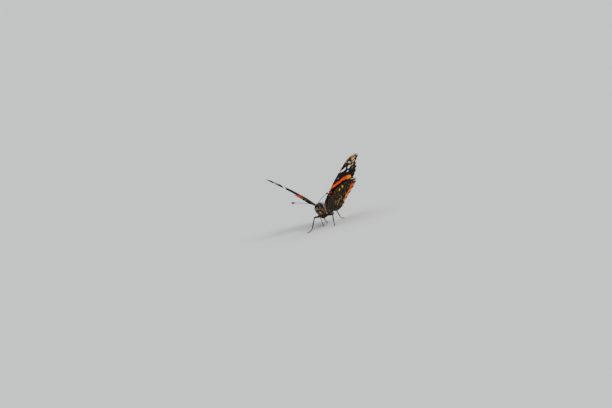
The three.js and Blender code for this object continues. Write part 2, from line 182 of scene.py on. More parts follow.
# Colours of scales, hair and chitin
VELVET_BLACK = linear("#0c0908")
SOOT_BROWN = linear("#21170f")
BASE_BROWN = linear("#4a3521")
BAND_RED = linear("#f42200")
BAND_ORANGE = linear("#ff5200")
# Orange of the hindwing's upper border as it shows through the wing against the light: painted light
SHOW_THROUGH_ORANGE = linear("#ff8408")
BAND_YELLOW = linear("#ffb70c")
SPOT_YELLOW = linear("#f7da3c")
WHITE_SCALES = linear("#fdfcf8")
CREAM_SCALES = linear("#e6cf9c")
PINK_CREAM = linear("#d9b3a0")
BLUE_SCALES = linear("#7f9bd8")
PALE_BLUE = linear("#bac6e0")
GOLDEN_BROWN = linear("#b87a2c")
OLIVE_TAN = linear("#a28a48")
MARBLE_TAN = linear("#6e5730")
MARBLE_GREY = linear("#6c6260")
MARBLE_DARK = linear("#120c09")
MAROON = linear("#5a1a14")
HAIR_DARK = linear("#150e0a")
HAIR_BROWN = linear("#4c331f")
HAIR_FAWN = linear("#8e6d4a")
HAIR_CREAM = linear("#cdb799")
# Lilac of the shoulder hair, used brightened on top of the body as a painted highlight
LILAC_HAIR_AND_HIGHLIGHT = linear("#b4abc6")
HAIR_RUST = linear("#54301a")
ABDOMEN_DARK = linear("#2b211d")
ABDOMEN_PINK = linear("#8d7268")
HORN_BLACK = linear("#17120f")
SHAFT_BROWN = linear("#4a3a30")
LEG_BROWN = linear("#2e1f14")
LEG_TAN = linear("#6f5232")
EYE_TOP = linear("#140b07")
EYE_BELOW = linear("#4a2d16")
BOARD_PALE = linear("#dfe1df")


# Small helpers


def ease(x):
    """Smooth step: 3x² − 2x³ with x held between 0 and 1."""
    x = np.clip(x, 0, 1)
    return x * x * (3 - 2 * x)


def rise(x, start, stretch):
    """0 up to the start, then a smooth step up to 1 over the stretch."""
    return ease((x - start) / stretch)


def fall(x, start, stretch):
    """1 up to the start, then a smooth step down to 0 over the stretch."""
    return 1 - rise(x, start, stretch)


def bell(x):
    """exp(−x²): 1 at 0, and near 0 beyond 2 on either side."""
    return np.exp(-(x**2))


def unit(vectors):
    """Vectors divided by their own length."""
    return vectors / np.maximum(np.linalg.norm(vectors, axis=-1, keepdims=True), 1e-9)


def blend(low, high, share):
    """low + (high − low)·share, for colours over an array of shares."""
    return low + (high - low) * np.asarray(share)[..., None]


def painted(colour, *coats):
    """A colour under coats of paint, each a colour and the share that it covers, laid on in turn."""
    for coat, share in coats:
        colour = blend(colour, coat, share)
    return colour


def noise(x, y, seed):
    """Value noise: random numbers on a square lattice, blended by the smooth step of the place in each
    square."""
    size = 64
    table = np.random.default_rng(seed).random((size, size))
    column, row = np.floor(x).astype(int), np.floor(y).astype(int)
    u, v = ease(x - column), ease(y - row)
    left, right = column % size, (column + 1) % size
    near, far = (table[left, k % size] * (1 - u) + table[right, k % size] * u for k in (row, row + 1))
    return near * (1 - v) + far * v


def marbling(x, y, seed):
    """Three octaves of value noise, each twice as fine and half as strong, scaled to 0–1."""
    return (4 * noise(x, y, seed) + 2 * noise(2 * x, 2 * y, seed + 1) + noise(4 * x, 4 * y, seed + 2)) / 7


def curve_through(points):
    """A centripetal Catmull-Rom spline through the points, as a function of the share of its length."""
    points = np.asarray(points, float)
    ends = np.vstack([2 * points[0] - points[1], points, 2 * points[-1] - points[-2]])
    stretches = []
    for a, b, c, d in zip(ends, ends[1:], ends[2:], ends[3:]):
        k1 = np.sqrt(np.linalg.norm(b - a))
        k2 = k1 + np.sqrt(np.linalg.norm(c - b))
        k3 = k2 + np.sqrt(np.linalg.norm(d - c))
        k = np.linspace(k1, k2, 40)[:, None]
        ab = a + (b - a) * k / k1
        bc = b + (c - b) * (k - k1) / (k2 - k1)
        cd = c + (d - c) * (k - k2) / (k3 - k2)
        abc = ab + (bc - ab) * k / k2
        bcd = bc + (cd - bc) * (k - k1) / (k3 - k1)
        stretches.append(abc + (bcd - abc) * (k - k1) / (k2 - k1))
    path = np.vstack(stretches)
    length = np.r_[0, np.cumsum(np.linalg.norm(np.diff(path, axis=0), axis=1))]

    def at(share):
        along = np.asarray(share, float) * length[-1]
        return np.stack([np.interp(along, length, axis) for axis in path.T], -1)

    return at


def nearest(line, share):
    """The points of an evenly spaced line at the given shares of its length."""
    return line[np.minimum((share * len(line)).astype(int), len(line) - 1)]


def to_floor(points):
    """Body frame to floor frame: turned about x so that the head rises, then lifted so that the wing roots
    are at their height."""
    x, y, z = np.moveaxis(np.asarray(points, float), -1, 0)
    c, s = math.cos(BODY_PITCH), math.sin(BODY_PITCH)
    return np.stack([x, y * c + z * s - ROOT_AHEAD, z * c - y * s + ROOT_HEIGHT], -1)


def mirrored(points, side):
    """Points with x multiplied by the side, 1 for left and −1 for right."""
    return np.asarray(points, float) * np.array([side, 1, 1])


# Meshes


def placed(name, data):
    """A new object in the scene, at the origin."""
    thing = bpy.data.objects.new(name, data)
    bpy.context.scene.collection.objects.link(thing)
    return thing


def make_piece(name, surface, material, nodes=()):
    """A mesh object from a surface in mm, which rides on the root body and replaces the nodes named. Its
    faces are turned over if they point inwards."""
    points, faces, uv, colours = surface
    points = points.reshape(-1, 3)
    volume = 0.0
    for group in faces:
        for k in range(1, group.shape[1] - 1):
            a, b, c = points[group[:, 0]], points[group[:, k]], points[group[:, k + 1]]
            volume += np.einsum("ij,ij->", a, np.cross(b, c))
    if volume < 0:
        faces = [group[:, ::-1] for group in faces]
    loops = np.concatenate([group.ravel() for group in faces])
    sizes = np.concatenate([np.full(len(group), group.shape[1]) for group in faces])
    mesh = bpy.data.meshes.new(name)
    mesh.vertices.add(len(points))
    mesh.vertices.foreach_set("co", (points * MM).astype(np.float32).ravel())
    mesh.loops.add(len(loops))
    mesh.loops.foreach_set("vertex_index", loops.astype(np.int32))
    mesh.polygons.add(len(sizes))
    mesh.polygons.foreach_set("loop_start", np.r_[0, np.cumsum(sizes)[:-1]].astype(np.int32))
    mesh.polygons.foreach_set("use_smooth", np.full(len(sizes), True))
    if uv is not None:
        layer = mesh.uv_layers.new(name="OFBake")
        layer.data.foreach_set("uv", uv.reshape(-1, 2)[loops].astype(np.float32).ravel())
    if colours is not None:
        layer = mesh.color_attributes.new("scale_colour", "FLOAT_COLOR", "POINT")
        with_alpha = np.ones((len(points), 4), np.float32)
        with_alpha[:, :3] = colours.reshape(-1, 3)
        layer.data.foreach_set("color", with_alpha.ravel())
    mesh.update(calc_edges=True)
    mesh.validate()
    mesh.materials.append(material)
    piece = placed(name, mesh)
    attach(piece, "root")
    if nodes:
        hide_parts(*nodes)


def grid_quads(rows, columns, wrap):
    """Quads between neighbouring rows and columns of a grid. Wrapped, the last column joins the first."""
    i, j = np.meshgrid(np.arange(rows - 1), np.arange(columns if wrap else columns - 1), indexing="ij")
    i, j = i.ravel(), j.ravel()
    k = (j + 1) % columns
    return np.stack([i * columns + j, i * columns + k, (i + 1) * columns + k, (i + 1) * columns + j], 1)


def capped(rings, first, last):
    """Points and faces of a grid of closed rings, with a fan from each end ring to an end point."""
    rows, sides = rings.shape[:2]
    here = np.arange(sides)
    following = (here + 1) % sides
    before = (rows - 1) * sides
    start = np.stack([np.full(sides, rows * sides), following, here], 1)
    end = np.stack([np.full(sides, rows * sides + 1), before + here, before + following], 1)
    points = np.concatenate([rings.reshape(-1, 3), [first, last]])
    return points, [grid_quads(rows, sides, True), start, end]


def with_ends(values, *ends):
    """Values for each ring point and the two end points: those given, or else those of the end rings."""
    ends = ends or (values[0, 0], values[-1, 0])
    return np.concatenate([values.reshape(-1, values.shape[-1]), ends])


END_BULGE = 0.6  # how far a tube's end point stands out, as a share of its radius


def tube(path, radii, sides, reference):
    """A circle swept along a path: centre + radius·(n cos a + b sin a), with n square to the path and the
    reference, and b square to both. Each end closes on a point. Returns points, faces, the grid of rings,
    and each ring point's height over the path as a share of the radius."""
    tangent = unit(np.gradient(path, axis=0))
    n = unit(np.cross(tangent, reference))
    b = np.cross(tangent, n)
    angle = np.linspace(0, 2 * np.pi, sides, endpoint=False)[None, :, None]
    spokes = radii[:, None, None] * (np.cos(angle) * n[:, None] + np.sin(angle) * b[:, None])
    rings = path[:, None] + spokes
    first = path[0] - tangent[0] * radii[0] * END_BULGE
    last = path[-1] + tangent[-1] * radii[-1] * END_BULGE
    points, faces = capped(rings, first, last)
    return points, faces, rings, (rings - path[:, None])[..., 2] / radii[:, None]


# A hair's triangles: one across its root, six round its lower half and three up to its tip
HAIR_ROOT = [[0, 2, 1]]
HAIR_SHAFT = [[0, 1, 4], [0, 4, 3], [1, 2, 5], [1, 5, 4], [2, 0, 3], [2, 3, 5]]
HAIR_TIP = [[3, 4, 6], [4, 5, 6], [5, 3, 6]]
HAIR_TRIANGLES = np.array(HAIR_ROOT + HAIR_SHAFT + HAIR_TIP)
# Its root and its middle: share of the length, share of the width, share of the patch, and painted shade,
# darker at the root as if shaded deep in the coat
HAIR_RINGS = [(0.0, 1.0, 1.0, 0.62), (0.5, 0.8, 0.5, 1.02)]
# Painted highlight: a hair's tip is painted lighter than its middle, as if it catches the light
TIP_PAINTED_LIGHT = 1.25
PATCH = 0.0015  # half the size of a hair's patch on the unwrap


def hairs(roots, directions, lie, lengths, widths, roots_uv, colours, sink=0.08, lowest=-np.inf):
    """A surface of three-sided blades, each with three points at its root, three at its middle and one at
    its tip. Point at share s: root + length·(s·direction + s²·lie) + width(s)·ring, with the root sunk a
    little. Blades that reach below the lowest height are left out."""
    count = len(roots)
    lengths, widths = (np.broadcast_to(size, count)[:, None] for size in (lengths, widths))
    across = unit(np.cross(directions, lie + 1e-4))
    raised = np.cross(directions, across)
    points = np.empty((count, 7, 3))
    offsets = np.zeros((7, 2))
    # Painted shade and highlight: each hair darker at its root and lighter at its tip, as if shaded in the
    # coat and lit at its tip
    painted_shade = np.empty(7)
    for level, (share, width, patch, tone) in enumerate(HAIR_RINGS):
        centre = roots + lengths * (share * directions + share**2 * lie)
        centre = centre - (sink * directions if level == 0 else 0)
        for corner in range(3):
            turn = 2 * np.pi * corner / 3
            c, s = math.cos(turn), math.sin(turn)
            points[:, level * 3 + corner] = centre + widths * width * (c * across + 0.5 * s * raised)
            offsets[level * 3 + corner] = PATCH * patch * np.array([c, s])
            painted_shade[level * 3 + corner] = tone
    points[:, 6] = roots + lengths * (directions + lie)
    painted_shade[6] = TIP_PAINTED_LIGHT
    uv = np.clip(roots_uv, 2 * PATCH, 1 - 2 * PATCH)[:, None] + offsets[None]
    tint = np.broadcast_to(colours, (count, 3))[:, None] * painted_shade[None, :, None]
    keep = points[..., 2].min(1) > lowest
    faces = (HAIR_TRIANGLES[None] + 7 * np.arange(keep.sum())[:, None, None]).reshape(-1, 3)
    return points[keep].reshape(-1, 3), [faces], uv[keep].reshape(-1, 2), tint[keep].reshape(-1, 3)


def joined(parts):
    """Several surfaces as one."""
    starts = np.cumsum([0, *[len(part[0]) for part in parts]])
    faces = [group + start for part, start in zip(parts, starts) for group in part[1]]
    kinds = [[group for group in faces if group.shape[1] == corners] for corners in (4, 3)]
    points, uv, colours = (
        None if parts[0][i] is None else np.concatenate([part[i] for part in parts]) for i in (0, 2, 3)
    )
    return points, [np.concatenate(kind) for kind in kinds if kind], uv, colours


def scatter(grid, count, density, rng, wrap):
    """Random places on a grid surface, in proportion to each cell's area times the density there. Returns
    positions, outward normals, unit vectors from row to row, and each place's two grid shares."""
    closed = np.concatenate([grid, grid[:, :1]], 1) if wrap else grid
    along = closed[1:, :-1] - closed[:-1, :-1]
    across = closed[:-1, 1:] - closed[:-1, :-1]
    normal = np.cross(across, along)
    area = np.linalg.norm(normal, axis=-1) * density[: normal.shape[0], : normal.shape[1]]
    picks = rng.choice(area.size, count, p=(area / area.sum()).ravel())
    i, j = np.unravel_index(picks, area.shape)
    u, v = rng.random((2, count, 1))
    low = closed[i, j] * (1 - v) + closed[i, j + 1] * v
    high = closed[i + 1, j] * (1 - v) + closed[i + 1, j + 1] * v
    shares = np.stack([(i + u[:, 0]) / area.shape[0], (j + v[:, 0]) / area.shape[1]], 1)
    return low * (1 - u) + high * u, unit(normal[i, j]), unit(along[i, j]), shares


# Materials


def add(tree, kind, inputs, **settings):
    """A node with its settings, and each input set to a value or linked to a socket."""
    node = tree.nodes.new(kind)
    for name, value in settings.items():
        setattr(node, name, value)
    for name, value in inputs.items():
        if isinstance(value, bpy.types.NodeSocket):
            tree.links.new(value, node.inputs[name])
        else:
            node.inputs[name].default_value = value
    return node


def new_material(name):
    """An empty node material, its tree, and the socket that gives the place on the piece in metres."""
    material = bpy.data.materials.new(name)
    material.use_nodes = True
    tree = material.node_tree
    tree.nodes.clear()
    return material, tree, add(tree, "ShaderNodeTexCoord", {}).outputs["Object"]


def per_mm(size):
    """The scale of a pattern whose cells are this many millimetres wide, on coordinates in metres."""
    return 1 / (size * MM)


def rgba(colour):
    """A colour with full alpha, as a tuple."""
    return (*[float(c) for c in colour], 1.0)


def scaled_material(name, cell_mm, relief_mm, roughness, gloss, sheen, jitter):
    """Coloured scales: the piece's own colour attribute, lightened and darkened from scale to scale, with
    each scale's edge a small step. A scale's real size sets the Voronoi cells."""
    material, tree, place = new_material(name)
    paint = add(tree, "ShaderNodeAttribute", {}, attribute_name="scale_colour")
    scales = add(tree, "ShaderNodeTexVoronoi", {"Vector": place, "Scale": per_mm(cell_mm)})
    clouds = add(tree, "ShaderNodeTexNoise", {"Vector": place, "Scale": per_mm(1.2)})
    grey = add(tree, "ShaderNodeSeparateColor", {"Color": scales.outputs["Color"]})
    spread = {"Value": grey.outputs[0], "To Min": 1 - jitter, "To Max": 1 + jitter}
    tone = add(tree, "ShaderNodeMapRange", spread)
    patchy = {"Value": clouds.outputs["Fac"], "To Min": 0.82, "To Max": 1.18}
    drift = add(tree, "ShaderNodeMapRange", patchy)
    both = add(tree, "ShaderNodeMath", {0: tone.outputs[0], 1: drift.outputs[0]}, operation="MULTIPLY")
    shaded = {0: paint.outputs["Color"], "Scale": both.outputs[0]}
    colour = add(tree, "ShaderNodeVectorMath", shaded, operation="SCALE")
    relief = {"Height": scales.outputs["Distance"], "Distance": relief_mm * MM, "Strength": 0.6}
    surface = {
        "Base Color": colour.outputs[0],
        "Roughness": roughness,
        "Specular IOR Level": gloss,
        "Sheen Weight": sheen,
        "Sheen Roughness": 0.4,
        "IOR": 1.56,
        "Normal": add(tree, "ShaderNodeBump", relief).outputs[0],
    }
    shader = add(tree, "ShaderNodeBsdfPrincipled", surface)
    add(tree, "ShaderNodeOutputMaterial", {"Surface": shader.outputs[0]})
    return material


def horn_material(name, colour, roughness, grain_mm):
    """Bare chitin: a satin shell, finely pitted, a little paler where the pits are."""
    material, tree, place = new_material(name)
    grain = add(tree, "ShaderNodeTexNoise", {"Vector": place, "Scale": per_mm(grain_mm), "Detail": 3.0})
    tones = {"Factor": grain.outputs["Fac"], 6: rgba(colour * 0.7), 7: rgba(colour * 1.6)}
    relief = {"Height": grain.outputs["Fac"], "Distance": 0.02 * MM, "Strength": 0.5}
    surface = {
        "Base Color": add(tree, "ShaderNodeMix", tones, data_type="RGBA").outputs[2],
        "Roughness": roughness,
        "Specular IOR Level": 0.35,
        "IOR": 1.56,
        "Normal": add(tree, "ShaderNodeBump", relief).outputs[0],
    }
    shader = add(tree, "ShaderNodeBsdfPrincipled", surface)
    add(tree, "ShaderNodeOutputMaterial", {"Surface": shader.outputs[0]})
    return material


def eye_material(name, lens_mm):
    """A compound eye: a close honeycomb of lenses over the eye's own pigment, darker in soft patches."""
    material, tree, place = new_material(name)
    pigment = add(tree, "ShaderNodeAttribute", {}, attribute_name="scale_colour")
    lenses = add(tree, "ShaderNodeTexVoronoi", {"Vector": place, "Scale": per_mm(lens_mm)})
    clouds = add(tree, "ShaderNodeTexNoise", {"Vector": place, "Scale": per_mm(0.6), "Detail": 1.0})
    patchy = {
        "Value": clouds.outputs["Fac"],
        "From Min": 0.35,
        "From Max": 0.65,
        "To Min": 0.45,
        "To Max": 1.2,
    }
    depth = add(tree, "ShaderNodeMapRange", patchy)
    shaded = {0: pigment.outputs["Color"], "Scale": depth.outputs[0]}
    relief = {"Height": lenses.outputs["Distance"], "Distance": -0.012 * MM, "Strength": 0.7}
    surface = {
        "Base Color": add(tree, "ShaderNodeVectorMath", shaded, operation="SCALE").outputs[0],
        "Roughness": 0.35,
        "Specular IOR Level": 0.35,
        "IOR": 1.5,
        "Coat Weight": 0.2,
        "Coat Roughness": 0.12,
        "Normal": add(tree, "ShaderNodeBump", relief).outputs[0],
    }
    shader = add(tree, "ShaderNodeBsdfPrincipled", surface)
    add(tree, "ShaderNodeOutputMaterial", {"Surface": shader.outputs[0]})
    return material


def board_material(name, colour, grain_mm):
    """Painted board: matt, with a fine tooth."""
    material, tree, place = new_material(name)
    grain = add(tree, "ShaderNodeTexNoise", {"Vector": place, "Scale": per_mm(grain_mm)})
    relief = {"Height": grain.outputs["Fac"], "Distance": 0.01 * MM, "Strength": 0.2}
    bump = add(tree, "ShaderNodeBump", relief)
    surface = {"Base Color": rgba(colour), "Roughness": 0.85, "Normal": bump.outputs[0]}
    shader = add(tree, "ShaderNodeBsdfPrincipled", surface)
    add(tree, "ShaderNodeOutputMaterial", {"Surface": shader.outputs[0]})
    return material


# Wing scales overlap like tiles, so the wing is matt and faintly grained. Real scales are 0.1 mm long and
# are drawn at 0.13 mm, so that they show.
wing_scales = scaled_material("butterfly_wing_scales", 0.13, 0.02, 0.75, 0.08, 0.0, 0.3)
# Hair-like scales on the body shine a little along their length.
hair_scales = scaled_material("butterfly_body_hair", 0.3, 0.0, 0.55, 0.22, 0.04, 0.12)
# The skin under the coat is chitin covered with small flat scales.
skin_scales = scaled_material("scaled_chitin_skin", 0.09, 0.02, 0.6, 0.25, 0.03, 0.25)
# Legs are chitin with a thin covering of flat scales.
leg_scales = scaled_material("scaled_chitin_legs", 0.07, 0.01, 0.45, 0.35, 0.02, 0.3)
# Feelers are ringed with fine scales over satin chitin.
feeler_scales = scaled_material("scaled_chitin_feelers", 0.06, 0.01, 0.42, 0.35, 0.0, 0.25)
# The proboscis and the claws are bare chitin, black with a satin gloss.
horn = horn_material("bare_black_chitin", HORN_BLACK, 0.34, 0.05)
# The eyes are thousands of tiny clear lenses, which give a soft gloss over brown. Real ones are 0.025 mm
# wide and are drawn at 0.055 mm, so that they show.
eye_lens = eye_material("compound_eye_lens", 0.055)
# The floor is painted board, so that it is even, pale and without gloss.
pale_board = board_material("matt_pale_board", BOARD_PALE, 0.8)


# Wings

FOREWING = {
    "costa": [(0, -0.7), (4, -1.7), (11, -2.6), (20, -2.7), (26.5, -2.3), (29.9, -1.0)],
    "outer": [
        (29.9, -1.0),
        (30.7, 0.9),
        (30.6, 3.4),
        (29.6, 6.5),
        (27.8, 7.3),
        (25.8, 8.3),
        (23.9, 10.6),
        (21.8, 12.7),
        (19.2, 14.2),
        (16.2, 14.8),
    ],
    "inner": [(0, 1.3), (4, 4.4), (10, 9.3), (16.2, 14.8)],
    "sweep": FOREWING_SWEEP,
    "back": 0.0,
    "drop": 0.0,
    "margin_veins": [0.08, 0.19, 0.31, 0.43, 0.55, 0.68, 0.82, 0.95],
    # Each vein: r and t where it starts, t where it meets the margin, and the r over which it bends
    "veins": [
        (0.02, 0.12, 0.05, 0.9),
        (0.3, 0.1, 0.0, 0.4),
        (0.46, 0.13, 0.09, 0.5),
        (0.6, 0.11, 0.01, 0.32),
        (0.46, 0.15, 0.19, 0.4),
        (0.47, 0.24, 0.31, 0.3),
        (0.47, 0.38, 0.43, 0.3),
        (0.46, 0.56, 0.55, 0.2),
        (0.02, 0.6, 0.68, 0.9),
        (0.25, 0.63, 0.82, 0.6),
        (0.02, 0.86, 0.95, 0.9),
    ],
    # The cross vein that ends the cell: its r, and t at its two ends
    "cell_end": (0.465, 0.13, 0.64),
    "rows": 230,
    "columns": 150,
    "hairs": 2200,
}

HINDWING = {
    "costa": [(0, -0.9), (4, -2.3), (10, -2.4), (15.3, 0.0), (18.9, 3.5)],
    "outer": [
        (18.9, 3.5),
        (20.4, 5.9),
        (20.9, 8.4),
        (20.3, 10.7),
        (18.0, 12.7),
        (14.6, 13.9),
        (11.3, 14.6),
        (8.3, 15.2),
        (5.6, 15.6),
    ],
    "inner": [(0, 1.2), (-0.7, 4.5), (0.2, 9.5), (2.4, 13.8), (5.6, 15.6)],
    "sweep": HINDWING_SWEEP,
    "back": HINDWING_BACK,
    "drop": HINDWING_BELOW,
    "margin_veins": [0.08, 0.22, 0.36, 0.5, 0.64, 0.78, 0.92],
    "veins": [
        (0.02, 0.1, 0.03, 0.9),
        (0.25, 0.14, 0.12, 0.4),
        (0.41, 0.2, 0.22, 0.3),
        (0.41, 0.32, 0.36, 0.3),
        (0.4, 0.46, 0.5, 0.3),
        (0.02, 0.5, 0.64, 0.9),
        (0.25, 0.55, 0.78, 0.6),
        (0.02, 0.85, 0.92, 0.9),
    ],
    "cell_end": (0.41, 0.18, 0.56),
    "rows": 180,
    "columns": 180,
    "hairs": 3600,
}


def wing_plane(wing, r, t):
    """Places in the wing's plane: the costa and the inner edge blended by t, plus r times how far the outer
    margin departs from the straight line between its ends. The margin dips a little between two veins."""
    costa, inner, outer = (curve_through(wing[edge]) for edge in ("costa", "inner", "outer"))
    back = t[..., None]
    flat = costa(r) * (1 - back) + inner(r) * back
    flat = flat + r[..., None] * (outer(t) - outer(0.0) * (1 - back) - outer(1.0) * back)
    dip = SCALLOP * np.sqrt(mid_cell(wing, t)) * rise(r, 0.85, 0.15)
    return flat * (1 - dip / np.maximum(np.linalg.norm(flat, axis=-1), 1.0))[..., None]


def mid_cell(wing, t):
    """sin² of the way from one margin vein to the next: 0 on a vein and 1 midway between two."""
    marks = np.array([0.0, *wing["margin_veins"], 1.0])
    k = np.clip(np.searchsorted(marks, t) - 1, 0, len(marks) - 2)
    share = (t - marks[k]) / (marks[k + 1] - marks[k])
    return np.sin(np.pi * np.clip(share, 0, 1)) ** 2


def vein_relief(wing, r, t, plane):
    """The highest of round ridges, each exp(−(distance / half width)²), lower towards the margin."""
    per_t = np.linalg.norm(np.gradient(plane, axis=1), axis=-1) / np.gradient(t, axis=1)
    per_r = np.linalg.norm(np.gradient(plane, axis=0), axis=-1) / np.gradient(r, axis=0)
    relief = np.zeros_like(r)
    for start, at, to, bend in wing["veins"]:
        line = at + (to - at) * rise(r, start, bend)
        begun = ease((r - start) / 0.02 + 1)
        relief = np.maximum(relief, begun * bell(np.abs(t - line) * per_t / VEIN_HALF_WIDTH))
    end, low, high = wing["cell_end"]
    bow = end - 0.03 * np.sin(np.pi * np.clip((t - low) / (high - low), 0, 1))
    inside = ease((t - low) / 0.01 + 1) * ease((high - t) / 0.01 + 1)
    relief = np.maximum(relief, 0.6 * inside * bell((r - bow) * per_r / VEIN_HALF_WIDTH))
    return relief * (1 - 0.6 * r) * fall(r, 0.93, 0.07)


def wing_lift(wing, side, r, t, plane):
    """Height of the mid surface over the wing's plane: a long arch outwards, a bow from the leading edge to
    the inner edge that lies half above and half below the plane, pleats that rise on the veins and sink
    between them, and on the hindwing an inner edge that turns down beside the abdomen. The hindwing lies
    below the forewing, and half as far below at its root."""
    span = plane[..., 0] * math.cos(wing["sweep"]) + plane[..., 1] * math.sin(wing["sweep"])
    arch = CAMBER * np.sin(np.pi * np.clip(span / FOREWING_LENGTH, 0, 1))
    pleats = PLEAT * (0.5 - mid_cell(wing, t)) * rise(r, 0.25, 0.4)
    bow = FOREWING_ARCH[side] if wing is FOREWING else HINDWING_ARCH
    arch = arch + (bow * np.sin(np.pi * t) - 0.5 * FOREWING_ARCH[side]) * rise(r, 0, 0.3)
    fold = 0.0
    if wing is HINDWING:
        fold = INNER_FOLD * rise(t, 0.8, 0.2) * rise(r, 0, 0.15)
    return arch + pleats - fold - wing["drop"] * (0.5 + 0.5 * rise(r, 0, 0.3))


def wing_sheet(wing, side):
    """r, t, places in the wing's plane and heights over it, for the whole grid of a wing."""
    shares = np.linspace(0, 1, wing["rows"]), np.linspace(0, 1, wing["columns"])
    r, t = np.meshgrid(*shares, indexing="ij")
    plane = wing_plane(wing, r, t)
    return r, t, plane, wing_lift(wing, side, r, t, plane)


def wing_to_floor(wing, side, plane, lift):
    """Wing plane to floor frame: turned by the sweep in its plane, tipped up by the dihedral at the root,
    and carried with the body."""
    x, y = plane[..., 0], plane[..., 1]
    span = x * math.cos(wing["sweep"]) + y * math.sin(wing["sweep"])
    back = y * math.cos(wing["sweep"]) - x * math.sin(wing["sweep"]) + wing["back"]
    out = WING_ROOT_OUT + span * math.cos(WING_DIHEDRAL) - lift * math.sin(WING_DIHEDRAL)
    up = span * math.sin(WING_DIHEDRAL) + lift * math.cos(WING_DIHEDRAL)
    return to_floor(np.stack([side * out, back, up], -1))


# Wing markings: how much of each place a colour covers


def spot(x, y, centre, radii, turn=0.0, soft=0.14):
    """1 inside an ellipse and 0 outside, with a soft edge."""
    c, s = math.cos(turn), math.sin(turn)
    u = ((x - centre[0]) * c + (y - centre[1]) * s) / radii[0]
    v = ((y - centre[1]) * c - (x - centre[0]) * s) / radii[1]
    return 1 - ease((np.hypot(u, v) - 1) * min(radii) / soft + 0.5)


def stripe(x, y, points, soft=0.16):
    """1 along a smooth curve through (x, y, half width) points and 0 away from it, with a soft edge."""
    line = curve_through(points)(np.linspace(0, 1, 60))
    gap = np.full(x.shape, 99.0)
    for px, py, half in line:
        gap = np.minimum(gap, np.hypot(x - px, y - py) - half)
    return 1 - ease(gap / soft + 0.5)


def ragged(plane, seed):
    """x and y in the wing's plane, shifted by noise, by half a millimetre at most, so that the edges of
    markings are uneven."""
    x, y = plane[..., 0], plane[..., 1]
    wave = 0.75 * (noise(1.1 * x, 1.1 * y, seed) - 0.5)
    wave = wave + 0.24 * (noise(5 * x, 5 * y, seed + 1) - 0.5)
    return x + wave, y + 0.5 * (noise(1.3 * x, 1.3 * y, seed + 2) - 0.5)


# Each point of a band or bar: x, y and half width. Each spot: centre and radii.
BAND = [
    (9.9, -3.4, 1.1),
    (10.3, -0.6, 1.15),
    (11.5, 2.2, 1.15),
    (13.4, 4.6, 1.1),
    (15.2, 7.1, 1.2),
    (16.1, 9.4, 1.35),
    (15.9, 11.6, 1.1),
]
WHITE_BAR = [(19.1, -2.3, 0.7), (19.7, -0.4, 0.85), (20.7, 1.5, 0.95)]
BLUE_STREAK = [(14.3, -0.9, 0.05), (14.9, 0.3, 0.22), (14.7, 1.6, 0.05)]
WHITE_SPOTS = [
    ((19.6, 6.0), (0.75, 0.65)),
    ((22.4, 4.7), (1.05, 0.95)),
    ((24.9, 3.3), (0.6, 0.7)),
    ((25.6, 1.1), (0.5, 0.8)),
]
CREAM_SPOTS = [((25.2, -1.5), (0.7, 0.6)), ((8.3, -2.3), (0.45, 0.35)), ((6.6, -2.0), (0.4, 0.3))]
YELLOW_SPOTS = [(10.4, 1.4), (12.6, 1.7)]


def forewing_upper(r, t, plane):
    """Black with a red band from the costa to the tornus, a white bar and white spots before the apex,
    bronze at the root and a broken blue line along the tip's margin."""
    x, y = ragged(plane, 11)
    bronze = fall(r, 0, 0.42) * (0.35 + 0.6 * noise(3 * x, 1.2 * y, 12))
    red = blend(BAND_RED, BAND_ORANGE, 0.5 * noise(0.6 * x, 0.6 * y, 13))
    line = fall(np.abs(r - 0.955), 0, 0.012) * mid_cell(FOREWING, t) * fall(t, 0.3, 0.15)
    return painted(
        SOOT_BROWN,
        (VELVET_BLACK, rise(r, 0.1, 0.5)),
        (BASE_BROWN, bronze),
        (red, stripe(x, y, BAND)),
        (WHITE_SCALES, stripe(x, y, WHITE_BAR)),
        *[(WHITE_SCALES, spot(x, y, centre, 0.85 * np.array(radii))) for centre, radii in WHITE_SPOTS],
        (WHITE_SCALES, spot(x, y, (25.4, -1.2), (0.7, 0.4), 0.3)),
        (BLUE_SCALES, 0.7 * line),
    )


